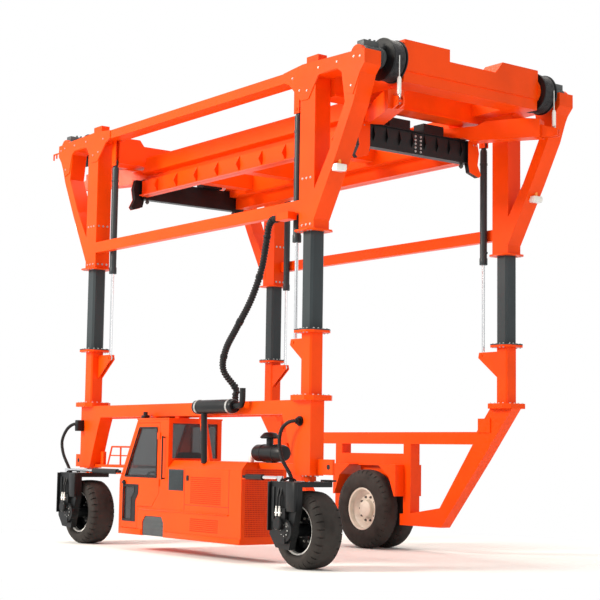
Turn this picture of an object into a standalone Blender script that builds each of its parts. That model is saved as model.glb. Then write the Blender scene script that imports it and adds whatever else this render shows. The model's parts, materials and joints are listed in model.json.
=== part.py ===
"""Straddle carrier: a three-sided gantry on wheels with a rising upper frame and a spreader.

Metres, +Z up, -X front, +X engine end, -Y cab side ("near"), +Y twin-wheel side ("far").
The origin is on the ground under the middle of the machine.
"""

import math

import bmesh
import bpy
from mathutils import Matrix, Vector

# general fits
GAP = 0.0003            # between pieces that are bolted or welded face to face
PIN_GAP = 0.0008        # radial play of pins, shafts and rods
DOOR_GAP = 0.006        # between the door and its frame
ROUND = 18              # sides of a round piece
SMALL_ROUND = 10        # sides of a small round piece
TYRE_ROUND = 28         # sides of a tyre and its rim

# legs and masts
LEG_X = 2.955           # leg centres from the middle, along the machine
LEG_Y = 1.84            # leg centres from the middle, across the machine
SIDE_SKIN = 0.13        # from the leg centres out to the side frames' outer faces
POST_SIZE = 0.22
POST_FOOT = 2.27        # underside of a post's foot flange
POST_TOP = 3.170        # top of a post's head flange
FLANGE_THICKNESS = 0.03
FOOT_FLANGE = 0.24      # half width of the foot flanges
HEAD_FLANGE = 0.21      # half width of the head flanges
MAST_SIZE = 0.225
MAST_TOP = 5.20
MAST_PLAY = 0.008       # between a mast and its sleeve

# lift cylinders
LIFT_X = LEG_X - 0.44
LIFT_Y = LEG_Y - 0.05
LIFT_PIN_Z = POST_TOP - 0.14
LIFT_ROD = 0.025        # radii
LIFT_BARREL = 0.055
LIFT_GLAND = 0.062
PIN_RADIUS = 0.02
LIFT_ROD_TOP = 4.85
BARREL_FOOT = 4.42
BARREL_HEAD = 6.20
BARREL_PIN_Z = 6.29
LUG_THICKNESS = 0.016
EYE_WIDTH = 0.044

# upper frame
UPPER_OUTER = LEG_Y + SIDE_SKIN      # outer face of the upper sides
UPPER_INNER = LEG_Y - 0.14
SLEEVE_WALL = 0.0435    # thickness of a sleeve beyond the room for its mast, along the machine
SLEEVE_HALF_X = MAST_SIZE / 2 + MAST_PLAY + SLEEVE_WALL
SLEEVE_INNER = LEG_Y - 0.135
SLEEVE_FOOT = 4.515
TOP_BEAM_LOW = 6.65
TOP_BEAM_HIGH = 6.79
MID_BEAM_LOW = 4.785
MID_BEAM_HIGH = 4.957
MID_BEAM_INNER = LEG_Y + 0.02
BRACE_REACH = 1.212     # end of the braces beyond the leg centres, along the machine

# heads: cross beam and drum beam
CROSS_NEAR_X = LEG_X - 0.055
CROSS_FAR_X = LEG_X + 0.245
CROSS_LOW = 6.37
CROSS_HIGH = 6.72
DRUM_BEAM_IN = LEG_X + 0.845
DRUM_BEAM_OUT = LEG_X + 1.195
DRUM_BEAM_LOW = 6.465
DRUM_BEAM_SEAM = 6.62
DRUM_BEAM_MID = 6.87
DRUM_BEAM_HUMP = 7.04
DRUM_X = LEG_X + 1.025
DRUM_Z = 6.75
DRUM_RADIUS = 0.29
DRUM_WIDTH = 0.24
DRUM_OUT = LEG_Y - 0.295
DRUM_IN = DRUM_OUT - DRUM_WIDTH
DRUM_BEAM_HALF = DRUM_IN - 0.035
DRUM_SHAFT = 0.05
SHAFT_IN = DRUM_IN - 0.105
SHAFT_OUT = DRUM_OUT + 0.055
MOTOR_RADIUS = 0.13
MOTOR_IN = DRUM_OUT + 0.015

# spreader
SPREADER_HALF_Y = 1.05
SPREADER_TOP = 6.50
SPREADER_LOW = 5.85
SPREADER_END = 3.00
END_BEAM_DEPTH = 0.10
ARM_START = (2.75, 0.72)
ROPE_X = DRUM_X + 0.31  # where the ropes hang
ROPE_Y = DRUM_OUT - 0.074
ARM_ANGLE = math.atan2(ROPE_Y - ARM_START[1], ROPE_X - ARM_START[0])
ARM_LENGTH = math.hypot(ROPE_X - ARM_START[0], ROPE_Y - ARM_START[1])
ARM_WIDTH = 0.22

# near side frame
NEAR_OUTER = LEG_Y + SIDE_SKIN
NEAR_INNER = LEG_Y - 0.10
SIDE_BEAM_LOW = 2.05
SIDE_BEAM_HIGH = 2.24
DECK_LOW = 1.25
KINGPIN_BOSS = 0.08
KINGPIN = 0.05

# wheel forks and near wheels
WHEEL_RADIUS = 0.515
WHEEL_WIDTH = 0.44
WHEEL_Y = LEG_Y + 0.02
FORK_PLATE = 0.07
FORK_TOP = 2 * WHEEL_RADIUS + 0.05 + FORK_PLATE
FORK_ARM_IN = WHEEL_Y + WHEEL_WIDTH / 2 + 0.04
FORK_ARM_OUT = FORK_ARM_IN + 0.10
LEG_FOOT = FORK_TOP + 0.082
RIM_RADIUS = 0.325
AXLE_RADIUS = 0.09
STEER_PIN = (-0.28, -0.29)   # rod eye from the steering axis
STEER_ROD_Z = FORK_TOP + 0.043
STEER_BARREL = 0.040
STEER_ROD = 0.024
FRONT_BARREL_LENGTH = 0.80
FRONT_ROD_TAIL = 0.38   # inner ends of the rods, from the barrels' pivots
REAR_BARREL_LENGTH = 0.42
REAR_ROD_TAIL = 0.235

# far side frame and twin wheel
FAR_INNER = LEG_Y - 0.12
FAR_OUTER = LEG_Y + 0.074
TWIN_RADIUS = 0.636
TWIN_RIM = 0.343
TWIN_MIDDLE = LEG_Y - 0.01
TWIN_WIDTH = 0.31
TWIN_GAP = 0.04         # from the middle of the pair to a tyre
TWIN_IN = (TWIN_MIDDLE - TWIN_GAP - TWIN_WIDTH, TWIN_MIDDLE - TWIN_GAP)
TWIN_OUT = (TWIN_MIDDLE + TWIN_GAP, TWIN_MIDDLE + TWIN_GAP + TWIN_WIDTH)
AXLE_PLATE = (TWIN_MIDDLE - 0.015, TWIN_MIDDLE + 0.015)
TWIN_AXLE = 0.10

# cab, hood and what they hold
MODULE_OUTER = LEG_Y + 0.31
CAB_INNER = MODULE_OUTER - 0.95
HOOD_INNER = MODULE_OUTER - 0.78
CAB_WALL = 0.05
HOOD_WALL = 0.03
SKIRT_LOW = 0.25
CAB_FRONT = -1.50
CAB_REAR = -0.10
CAB_ROOF = 2.02
HOOD_END = 1.80
HOOD_TOP = 1.39
HOOD_SLANT = 0.11       # height of the slanted top edge
FLOOR_LOW = 0.42
FLOOR_HIGH = 0.62
GLASS_THICKNESS = 0.008
KNEE = 1.07             # where the cab's front starts to lean
SCREEN_LOW = 1.15
SCREEN_HIGH = CAB_ROOF - 0.08
DOOR_HIGH = CAB_ROOF - 0.07
PANE_MARGIN = 0.07      # from the cab's sides to its front and rear panes
LEAN = 0.52             # how far the front leans back up to the roof
FRONT_BARREL_X = CAB_FRONT - 0.06
REAR_BARREL_X = HOOD_END + 0.06
EXHAUST_Y = MODULE_OUTER - 0.065
DECK_END = CAB_FRONT + 0.08
ARM_SEAT = HOOD_TOP - 0.005          # top of the arm that joins the hood to the rear leg

HOSE_ROUTE = [  # x, y, z from the bracket under the upper side down to the side beam
    (2.4197, -2.05, 4.735),
    (2.36, -2.05, 4.735),
    (2.30, -2.05, 4.735),
    (2.21, -2.05, 4.65),
    (2.16, -2.055, 4.42),
    (2.06, -2.06, 4.05),
    (1.84, -2.07, 3.65),
    (1.52, -2.08, 3.28),
    (1.24, -2.07, 2.98),
    (1.10, -2.01, 2.70),
    (1.20, -1.86, 2.44),
    (1.20, -1.86, 2.34),
    (1.20, -1.86, 2.2405),
]
HOSE_RADIUS = 0.05

PAINT = (0.90, 0.105, 0.01)


def material(name, colour, roughness, metallic=0.0):
    found = bpy.data.materials.get(name)
    if found is None:
        found = bpy.data.materials.new(name)
        found.use_nodes = True
        shader = found.node_tree.nodes["Principled BSDF"]
        shader.inputs["Base Color"].default_value = (*colour, 1.0)
        shader.inputs["Roughness"].default_value = roughness
        shader.inputs["Metallic"].default_value = metallic
    return found


def paint():
    return material("orange_paint", PAINT, 0.35)


def dark_steel():
    return material("dark_steel", (0.05, 0.065, 0.075), 0.4, 0.4)


def black():
    return material("black_paint", (0.012, 0.013, 0.015), 0.5)


def chrome():
    return material("chrome", (0.7, 0.7, 0.72), 0.15, 1.0)


def rubber():
    return material("rubber", (0.02, 0.018, 0.018), 0.85)


def rim_white():
    return material("rim_white", (0.75, 0.72, 0.66), 0.45)


def glass():
    return material("glass", (0.35, 0.38, 0.4), 0.08)


def fabric():
    return material("fabric", (0.03, 0.03, 0.035), 0.9)


def iron():
    return material("cast_iron", (0.12, 0.12, 0.12), 0.6, 0.6)


def add_object(name, mesh):
    thing = bpy.data.objects.new(name, mesh)
    bpy.context.scene.collection.objects.link(thing)
    return thing


def close_mesh(name, shape):
    bmesh.ops.recalc_face_normals(shape, faces=shape.faces)
    mesh = bpy.data.meshes.new(name)
    shape.to_mesh(mesh)
    shape.free()
    return mesh


def prism(outline, along, start, end, name="shape"):
    """An outline pushed along an axis. Its points are (x, z) along y, (y, z) along x, (x, y) along z."""
    place = {
        "x": lambda a, b: (start, a, b),
        "y": lambda a, b: (a, start, b),
        "z": lambda a, b: (a, b, start),
    }[along]
    push = {"x": (1, 0, 0), "y": (0, 1, 0), "z": (0, 0, 1)}[along]
    shape = bmesh.new()
    corners = [shape.verts.new(place(a, b)) for a, b in outline]
    face = shape.faces.new(corners)
    grown = bmesh.ops.extrude_face_region(shape, geom=[face])["geom"]
    moved = [item for item in grown if isinstance(item, bmesh.types.BMVert)]
    bmesh.ops.translate(shape, vec=Vector(push) * (end - start), verts=moved)
    return add_object(name, close_mesh(name, shape))


def block(low, high, name="shape"):
    (x0, y0, z0), (x1, y1, z1) = low, high
    outline = [(x0, z0), (x1, z0), (x1, z1), (x0, z1)]
    return prism(outline, "y", y0, y1, name)


def turned(profile, along, centre, sides=ROUND, name="shape"):
    """A closed profile of (radius, distance along) turned round an axis through the centre."""
    shape = bmesh.new()
    corners = [shape.verts.new((radius, 0, way)) for radius, way in profile]
    count = len(corners)
    edges = [shape.edges.new((corners[i], corners[(i + 1) % count])) for i in range(count)
             if profile[i][0] > 1e-9 or profile[(i + 1) % count][0] > 1e-9]
    bmesh.ops.spin(shape, geom=corners + edges, cent=(0, 0, 0), axis=(0, 0, 1),
                   angle=math.tau, steps=sides, use_merge=True)
    bmesh.ops.remove_doubles(shape, verts=shape.verts, dist=0.00002)
    turn = {
        "z": Matrix.Identity(4),
        "x": Matrix.Rotation(math.pi / 2, 4, "Y"),
        "y": Matrix.Rotation(-math.pi / 2, 4, "X"),
    }[along]
    bmesh.ops.transform(shape, matrix=Matrix.Translation(centre) @ turn, verts=shape.verts)
    return add_object(name, close_mesh(name, shape))


def rod(radius, along, centre, start, end, sides=ROUND, name="shape"):
    profile = [(0, start), (radius, start), (radius, end), (0, end)]
    return turned(profile, along, centre, sides, name)


def ring(outer, inner, along, centre, start, end, sides=ROUND, name="shape"):
    profile = [(inner, start), (outer, start), (outer, end), (inner, end)]
    return turned(profile, along, centre, sides, name)


def combine(base, others, operation="UNION"):
    """Applies one Boolean for each of the others and removes them."""
    for other in others:
        step = base.modifiers.new(operation.lower(), "BOOLEAN")
        step.operation = operation
        step.solver = "EXACT"
        step.object = other
        bpy.context.view_layer.update()
        seen = base.evaluated_get(bpy.context.evaluated_depsgraph_get())
        result = bpy.data.meshes.new_from_object(seen)
        base.modifiers.clear()
        base.data = result
        bpy.data.objects.remove(other)
    return base


def weld(*pieces):
    return combine(pieces[0], pieces[1:], "UNION")


def cut(base, *cutters):
    return combine(base, cutters, "DIFFERENCE")


def move(thing, offset):
    thing.data.transform(Matrix.Translation(offset))
    return thing


def turn_about(thing, angle, pivot):
    around = Matrix.Translation(pivot) @ Matrix.Rotation(angle, 4, "Z") @ Matrix.Translation(-Vector(pivot))
    thing.data.transform(around)
    return thing


def finish(name, thing, surface, pivot=(0, 0, 0), smooth=True):
    """Names the node, gives it its material and puts its origin on its pivot."""
    thing.name = name
    thing.data.name = name
    thing.data.materials.clear()
    thing.data.materials.append(surface)
    thing.data.transform(Matrix.Translation(-Vector(pivot)))
    thing.location = pivot
    if smooth:
        thing.data.shade_smooth()
        thing.data.set_sharp_from_angle(angle=math.radians(32))
    return thing


def octagon(centre_x, centre_y, half, corner=0.09):
    signs = [(1, -1), (1, 1), (-1, 1), (-1, -1)]
    points = []
    for index, (sx, sy) in enumerate(signs):
        first = (sx * half, sy * (half - corner))
        second = (sx * (half - corner), sy * half)
        pair = [first, second] if index in (1, 3) else [second, first]
        points += [(centre_x + px, centre_y + py) for px, py in pair]
    return points


def mirrored(outline, sign):
    return [(sign * a, b) for a, b in outline]


def from_leg(outline):
    """An outline whose points are given from the leg centre."""
    return [(LEG_X + a, b) for a, b in outline]


def both_halves(outline):
    """The whole symmetric outline from its +X half, listed from top to bottom."""
    return outline + [(-a, b) for a, b in reversed(outline)]


CORNERS = [  # name, sign along X, sign along Y
    ("front_near", -1, -1),
    ("rear_near", 1, -1),
    ("front_far", -1, 1),
    ("rear_far", 1, 1),
]


def build_near_side_frame():
    half = from_leg([(0.155, SIDE_BEAM_HIGH), (0.155, LEG_FOOT), (-0.155, LEG_FOOT),
                     (-0.385, SIDE_BEAM_LOW - 0.22), (-0.485, SIDE_BEAM_LOW)])
    frame = prism(both_halves(half), "y", -NEAR_OUTER, -NEAR_INNER)
    ledge = LEG_X - 0.455
    extras = [block((-ledge, -NEAR_INNER - 0.02, SIDE_BEAM_LOW - 0.02), (ledge, -NEAR_INNER, SIDE_BEAM_HIGH - 0.02))]
    for sign in (-1, 1):
        axis_x = sign * LEG_X
        extras.append(prism(octagon(axis_x, -LEG_Y, FOOT_FLANGE), "z", SIDE_BEAM_HIGH - 0.01,
                            POST_FOOT - GAP))
        boss = rod(KINGPIN_BOSS, "z", (axis_x, -LEG_Y, 0), FORK_TOP + GAP, LEG_FOOT + 0.03)
        extras.append(boss)
        low, high = span(LEG_X + 0.135, LEG_X + 0.495, sign)
        lug = block((low, -LEG_Y - 0.02, LEG_FOOT + 0.013), (high, -LEG_Y + 0.02, LEG_FOOT + 0.218))
        hole = rod(0.035, "y", (sign * (LEG_X + 0.41), -LEG_Y, LEG_FOOT + 0.118), -0.05, 0.05, SMALL_ROUND)
        extras.append(cut(lug, hole))
    # deck between the front leg and the cab, and the arm between the rear leg and the hood
    leg_inside = LEG_X - 0.095
    extras.append(block((-leg_inside, -LEG_Y - 0.04, DECK_LOW), (DECK_END, -LEG_Y + 0.54, DECK_LOW + 0.04)))
    extras.append(block((HOOD_END + GAP, -LEG_Y - 0.02, ARM_SEAT - 0.085), (leg_inside, -LEG_Y + 0.08, ARM_SEAT)))
    # hangers of the cab roof and of the hood
    for x in (-0.85, -0.20):
        extras.append(block((x - 0.05, -NEAR_OUTER + 0.02, CAB_ROOF + GAP),
                            (x + 0.05, -NEAR_INNER - 0.02, SIDE_BEAM_LOW + 0.02)))
    brace_top = SIDE_BEAM_LOW + 0.03
    brace = [(0.42, HOOD_TOP + GAP), (0.54, HOOD_TOP + GAP), (0.34, brace_top), (0.22, brace_top)]
    extras.append(prism(brace, "y", -LEG_Y, -LEG_Y + 0.06))
    frame = weld(frame, *extras)
    sockets = [rod(KINGPIN + PIN_GAP, "z", (sign * LEG_X, -LEG_Y, 0), FORK_TOP - 0.05, FORK_TOP + 0.30)
               for sign in (-1, 1)]
    return finish("near_side_frame", cut(frame, *sockets), paint())


def build_far_side_frame():
    arch = TWIN_RADIUS + 0.144
    outline = from_leg([(0.24, SIDE_BEAM_HIGH), (0.225, SIDE_BEAM_HIGH - 0.02), (-0.405, 1.45), (-1.295, 0.405)])
    outline += [(arch - 0.08, 0.405), (arch - 0.08, 0.585), (arch, 0.585), (arch, TWIN_RADIUS + 0.704)]
    inner_top = from_leg([(-0.51, 1.88), (-0.215, SIDE_BEAM_HIGH)])
    whole = both_halves(outline) + [(-a, b) for a, b in reversed(inner_top)] + inner_top
    frame = prism(whole, "y", FAR_INNER, FAR_OUTER)
    triangle = [(arch + 0.17, 0.60)] + from_leg([(-1.325, 0.705), (-0.595, 1.69)]) + [(arch + 0.17, 1.69)]
    windows = [prism(mirrored(triangle, sign), "y", FAR_INNER - 0.1, FAR_OUTER + 0.1) for sign in (-1, 1)]
    windows.append(block((-arch, FAR_INNER - 0.1, 1.537), (arch, FAR_OUTER + 0.1, 1.69)))
    frame = cut(frame, *windows)
    extras = []
    for sign in (-1, 1):
        extras.append(prism(octagon(sign * LEG_X, LEG_Y, FOOT_FLANGE), "z", SIDE_BEAM_HIGH - 0.015,
                            POST_FOOT - GAP))
        low, high = span(LEG_X - 0.465, LEG_X - 0.205, sign)
        extras.append(block((low, FAR_INNER - 0.02, 1.87), (high, FAR_INNER + 0.08, 2.08)))
        top = TWIN_RADIUS + 0.724
        fender = [(arch - 0.02, TWIN_RADIUS + 0.224), (arch + 0.01, TWIN_RADIUS + 0.224), (arch + 0.01, top),
                  (0.36, top), (0.40, top - 0.03), (0.62, top - 0.18)]
        extras.append(prism(mirrored(fender, sign), "y", FAR_INNER - 0.18, FAR_OUTER + 0.18))
    plate = [(-0.16, TWIN_RADIUS), (-0.14, TWIN_RADIUS - 0.116), (0.14, TWIN_RADIUS - 0.116), (0.16, TWIN_RADIUS),
             (0.42, top), (-0.42, top)]
    extras.append(prism(plate, "y", *AXLE_PLATE))
    frame = weld(frame, *extras)
    bore = rod(TWIN_AXLE + PIN_GAP, "y", (0, 0, TWIN_RADIUS), AXLE_PLATE[0] - 0.1, AXLE_PLATE[1] + 0.1,
               TYRE_ROUND)
    return finish("far_side_frame", cut(frame, bore), paint())


def build_leg_post(label, sx, sy):
    x, y = sx * LEG_X, sy * LEG_Y
    half = POST_SIZE / 2
    post = prism(octagon(x, y, half, 0.02), "z", POST_FOOT, POST_TOP)
    foot = prism(octagon(x, y, FOOT_FLANGE), "z", POST_FOOT, POST_FOOT + FLANGE_THICKNESS)
    head = prism(octagon(x, y, HEAD_FLANGE, 0.08), "z", POST_TOP - FLANGE_THICKNESS, POST_TOP)
    lug = [(LEG_X - half + 0.02, LIFT_PIN_Z + 0.05), (LIFT_X - 0.05, LIFT_PIN_Z + 0.05),
           (LIFT_X - 0.07, LIFT_PIN_Z - 0.03), (LEG_X - half + 0.02, LIFT_PIN_Z - 0.35)]
    pieces = [post, foot, head]
    reach = EYE_WIDTH / 2 + 0.003
    for side in (-1, 1):
        near = side * reach
        far = side * (reach + LUG_THICKNESS)
        low, high = min(near, far), max(near, far)
        pieces.append(prism(mirrored(lug, sx), "y", sy * LIFT_Y + low, sy * LIFT_Y + high))
    pieces.append(rod(PIN_RADIUS, "y", (sx * LIFT_X, sy * LIFT_Y, LIFT_PIN_Z), -0.05, 0.05, SMALL_ROUND))
    return finish("leg_post_" + label, weld(*pieces), paint())


def build_mast(label, sx, sy):
    x, y = sx * LEG_X, sy * LEG_Y
    foot_height = 0.018
    column = prism(octagon(x, y, MAST_SIZE / 2, 0.03), "z", POST_TOP + GAP, MAST_TOP)
    foot = prism(octagon(x, y, HEAD_FLANGE, 0.08), "z", POST_TOP + GAP, POST_TOP + foot_height)
    return finish("mast_" + label, weld(column, foot), dark_steel())


def build_lift_rod(label, sx, sy):
    centre = (sx * LIFT_X, sy * LIFT_Y, 0)
    shaft = rod(LIFT_ROD, "z", centre, LIFT_PIN_Z + 0.03, LIFT_ROD_TOP, SMALL_ROUND)
    eye = rod(0.045, "y", (centre[0], centre[1], LIFT_PIN_Z), -EYE_WIDTH / 2, EYE_WIDTH / 2, ROUND)
    bore = rod(PIN_RADIUS + PIN_GAP, "y", (centre[0], centre[1], LIFT_PIN_Z), -0.1, 0.1, SMALL_ROUND)
    return finish("lift_rod_" + label, cut(weld(shaft, eye), bore), chrome())


def build_lift_barrel(label, sx, sy):
    profile = [(LIFT_ROD + PIN_GAP, BARREL_FOOT), (LIFT_GLAND, BARREL_FOOT), (LIFT_GLAND, BARREL_FOOT + 0.10),
               (LIFT_BARREL, BARREL_FOOT + 0.11), (LIFT_BARREL, BARREL_HEAD), (0, BARREL_HEAD),
               (0, BARREL_HEAD - 0.04), (0.042, BARREL_HEAD - 0.04), (0.042, BARREL_FOOT + 0.09),
               (LIFT_ROD + PIN_GAP, BARREL_FOOT + 0.08)]
    centre = (sx * LIFT_X, sy * LIFT_Y, 0)
    barrel = turned(profile, "z", centre, ROUND)
    neck = block((centre[0] - 0.04, centre[1] - EYE_WIDTH / 2, BARREL_HEAD - 0.02),
                 (centre[0] + 0.04, centre[1] + EYE_WIDTH / 2, BARREL_PIN_Z))
    eye = rod(0.045, "y", (centre[0], centre[1], BARREL_PIN_Z), -EYE_WIDTH / 2, EYE_WIDTH / 2)
    bore = rod(PIN_RADIUS + PIN_GAP, "y", (centre[0], centre[1], BARREL_PIN_Z), -0.1, 0.1, SMALL_ROUND)
    return finish("lift_barrel_" + label, cut(weld(barrel, neck, eye), bore), dark_steel())


def span(low, high, sign):
    """Two distances from the middle as a rising pair on the side that sign names."""
    return (low, high) if sign > 0 else (-high, -low)


def build_upper_side(label, sy):
    sleeve_edge = SLEEVE_HALF_X
    brace = from_leg([(sleeve_edge - 0.069, 4.66), (sleeve_edge, 4.66), (0.655, 5.52), (0.975, 6.12), (1.115, 6.49),
                      (BRACE_REACH, 6.60), (BRACE_REACH, TOP_BEAM_HIGH), (-0.055, TOP_BEAM_HIGH), (-0.055, 6.62),
                      (0.385, 6.62), (0.645, 6.62), (0.725, 6.57), (0.80, 6.15), (0.485, 5.55), (sleeve_edge, 5.07),
                      (sleeve_edge - 0.069, 5.07)])
    gusset = from_leg([(-0.555, 6.66), (-0.415, 6.60), (-0.145, 6.33), (0.025, 6.33), (0.235, 6.62), (0.385, 6.63),
                       (0.645, 6.63), (0.735, 6.575), (0.815, 6.27), (0.975, 6.22), (1.115, 6.49),
                       (BRACE_REACH, 6.60), (BRACE_REACH, TOP_BEAM_HIGH), (-0.115, TOP_BEAM_HIGH + 0.045),
                       (-0.555, TOP_BEAM_HIGH)])
    deep = span(UPPER_INNER, UPPER_OUTER, sy)
    reach = LEG_X + 0.045
    beam = block((-reach, deep[0], TOP_BEAM_LOW), (reach, deep[1], TOP_BEAM_HIGH))
    mid = span(MID_BEAM_INNER, UPPER_OUTER, sy)
    reach = LEG_X - 0.105
    pieces = [beam, block((-reach, mid[0], MID_BEAM_LOW), (reach, mid[1], MID_BEAM_HIGH))]
    sleeve = span(SLEEVE_INNER, UPPER_OUTER, sy)
    skin = span(UPPER_OUTER - 0.01, UPPER_OUTER + 0.012, sy)
    motor = span(MOTOR_IN, UPPER_OUTER - 0.01, sy)
    box_y = span(LEG_Y - 0.09, LEG_Y + 0.06, sy)
    lug_in = EYE_WIDTH / 2 + 0.003
    for sx in (-1, 1):
        x = sx * LEG_X
        pieces.append(block((x - SLEEVE_HALF_X, sleeve[0], SLEEVE_FOOT), (x + SLEEVE_HALF_X, sleeve[1], 6.70)))
        foot = SLEEVE_HALF_X + 0.056
        pieces.append(prism(octagon(x, sy * LEG_Y, foot, 0.08), "z", SLEEVE_FOOT, SLEEVE_FOOT + 0.02))
        pieces.append(prism(mirrored(brace, sx), "y", *deep))
        pieces.append(prism(mirrored(gusset, sx), "y", *skin))
        pieces.append(rod(MOTOR_RADIUS, "y", (sx * DRUM_X, 0, DRUM_Z), *motor))
        for side in (-1, 1):
            low, high = span(lug_in, lug_in + LUG_THICKNESS, side)
            pieces.append(block((sx * LIFT_X - 0.06, sy * LIFT_Y + low, BARREL_PIN_Z - 0.06),
                                (sx * LIFT_X + 0.06, sy * LIFT_Y + high, TOP_BEAM_LOW + 0.02)))
        pieces.append(rod(PIN_RADIUS, "y", (sx * LIFT_X, sy * LIFT_Y, BARREL_PIN_Z), -0.05, 0.05, SMALL_ROUND))
        if sy < 0:
            pieces.append(block((x - 0.13, box_y[0], TOP_BEAM_HIGH - 0.01), (x + 0.13, box_y[1], 6.95)))
    if sy < 0:
        # bracket that the hose bundle hangs from
        pieces.append(block((LEG_X - 0.535, -UPPER_OUTER - 0.12, MID_BEAM_LOW - 0.085),
                            (LEG_X - 0.255, -UPPER_OUTER + 0.03, MID_BEAM_LOW + 0.02)))
    side_frame = weld(*pieces)
    bore = MAST_SIZE / 2 + MAST_PLAY
    cutters = []
    for sx in (-1, 1):
        cutters.append(prism(octagon(sx * LEG_X, sy * LEG_Y, bore, 0.03), "z", SLEEVE_FOOT - 0.1, 6.60))
        hole = span(MOTOR_IN - 0.05, SHAFT_OUT + 0.01, sy)
        cutters.append(rod(DRUM_SHAFT + PIN_GAP, "y", (sx * DRUM_X, 0, DRUM_Z), *hole))
    return finish("upper_side_" + label, cut(side_frame, *cutters), paint())


def build_head(label, sx):
    flange = 0.02
    cross = [(CROSS_NEAR_X - flange, CROSS_LOW), (CROSS_FAR_X + flange, CROSS_LOW),
             (CROSS_FAR_X + flange, CROSS_LOW + 0.03), (CROSS_FAR_X, CROSS_LOW + 0.03),
             (CROSS_FAR_X, CROSS_HIGH), (CROSS_NEAR_X, CROSS_HIGH), (CROSS_NEAR_X, CROSS_LOW + 0.03),
             (CROSS_NEAR_X - flange, CROSS_LOW + 0.03)]
    reach = UPPER_INNER - GAP
    head = prism(cross, "y", -reach, reach)
    cover = [(-DRUM_BEAM_HALF, DRUM_BEAM_LOW), (DRUM_BEAM_HALF, DRUM_BEAM_LOW),
             (DRUM_BEAM_HALF, DRUM_BEAM_HUMP), (0.56, DRUM_BEAM_HUMP), (0.42, DRUM_BEAM_MID),
             (-0.45, DRUM_BEAM_MID), (-0.45, DRUM_BEAM_HUMP), (-DRUM_BEAM_HALF, DRUM_BEAM_HUMP)]
    pieces = [head, prism(cover, "x", DRUM_BEAM_IN, DRUM_BEAM_OUT - 0.02)]
    face = [(y, max(z, DRUM_BEAM_SEAM)) for y, z in cover]
    pieces.append(prism(face, "x", DRUM_BEAM_OUT - 0.03, DRUM_BEAM_OUT))
    for sy in (-1, 1):
        near, far = span(0.88, 1.14, sy)
        pieces.append(block((CROSS_FAR_X - 0.02, near, 6.47), (DRUM_BEAM_IN + 0.02, far, 6.69)))
        near, far = span(DRUM_BEAM_HALF - 0.02, DRUM_IN - 0.006, sy)
        pieces.append(rod(0.20, "y", (DRUM_X, 0, DRUM_Z), near, far))
    head = weld(*pieces)
    bores = []
    for sy in (-1, 1):
        near, far = span(SHAFT_IN - 0.01, DRUM_IN + 0.05, sy)
        bores.append(rod(DRUM_SHAFT + PIN_GAP, "y", (DRUM_X, 0, DRUM_Z), near, far))
    head = cut(head, *bores)
    if sx < 0:
        turn_about(head, math.pi, (0, 0, 0))
    return finish("head_" + label, head, paint())


def build_rope_drum(label, sx, sy):
    flange, groove = DRUM_RADIUS, DRUM_RADIUS - 0.04
    profile = [(0, SHAFT_IN), (DRUM_SHAFT, SHAFT_IN), (DRUM_SHAFT, DRUM_IN), (flange, DRUM_IN),
               (flange, DRUM_IN + 0.025), (groove, DRUM_IN + 0.03), (groove, DRUM_OUT - 0.03),
               (flange, DRUM_OUT - 0.025), (flange, DRUM_OUT), (DRUM_SHAFT, DRUM_OUT),
               (DRUM_SHAFT, SHAFT_OUT), (0, SHAFT_OUT)]
    profile = [(radius, sy * way) for radius, way in profile]
    drum = turned(profile, "y", (sx * DRUM_X, 0, DRUM_Z), ROUND)
    return finish("rope_drum_" + label, drum, black(), (sx * DRUM_X, sy * 1.425, DRUM_Z))


def build_spreader_frame():
    half = SPREADER_HALF_Y
    section = [(half - 0.27, SPREADER_TOP), (half, SPREADER_TOP), (half, 6.25), (half - 0.12, 6.22),
               (half - 0.12, 6.14), (half - 0.01, 6.12), (half - 0.01, SPREADER_LOW), (half - 0.13, SPREADER_LOW),
               (half - 0.13, 6.05), (half - 0.27, 6.05)]
    reach = SPREADER_END - END_BEAM_DEPTH - GAP
    pieces = [prism(mirrored(section, sy), "x", -reach, reach) for sy in (-1, 1)]
    for x in (-2.3, -1.0, 1.0, 2.3):
        pieces.append(block((x - 0.11, -half + 0.2, 6.10), (x + 0.11, half - 0.2, 6.36)))
    frame = weld(*pieces)
    ends = []
    for sx in (-1, 1):
        corner = [(2.76, SPREADER_TOP + 0.1), (2.76, SPREADER_TOP), (2.84, 6.30), (3.1, 6.30),
                  (3.1, SPREADER_TOP + 0.1)]
        ends.append(prism(mirrored(corner, sx), "y", -1.2, 1.2))
    frame = cut(frame, *ends)
    end = ARM_LENGTH - 0.193
    past_guide = SPREADER_END + 0.115 - ARM_START[0]
    drop = (past_guide + ARM_WIDTH / 2 * math.sin(ARM_ANGLE)) / math.cos(ARM_ANGLE)
    body = [(0.0, 6.165), (drop - 0.10, 6.165), (drop, 6.10), (end, 6.08), (end, 6.34), (end - 0.22, 6.37),
            (0.70, 6.37), (0.56, 6.315), (0.0, 6.31)]
    tip = [(end - 0.02, 6.08), (end - 0.02, 6.28), (end + 0.10, 6.23), (end + 0.25, 6.19), (end + 0.25, 6.09),
           (end + 0.21, 6.08)]
    arms = []
    for sx in (-1, 1):
        for sy in (-1, 1):
            arm = prism(body, "y", -ARM_WIDTH / 2, ARM_WIDTH / 2)
            plates = [prism(tip, "y", *span(0.030, 0.050, side)) for side in (-1, 1)]
            pin = rod(PIN_RADIUS, "y", (ARM_LENGTH, 0, 6.14), -0.06, 0.06, SMALL_ROUND)
            arm = weld(arm, *plates, pin)
            heading = ARM_ANGLE if sy > 0 else -ARM_ANGLE
            if sx < 0:
                heading = math.pi - heading
            turn_about(arm, heading, (0, 0, 0))
            arms.append(move(arm, (sx * ARM_START[0], sy * ARM_START[1], 0)))
    return finish("spreader_frame", weld(frame, *arms), paint(), (0, 0, SPREADER_TOP))


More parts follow.
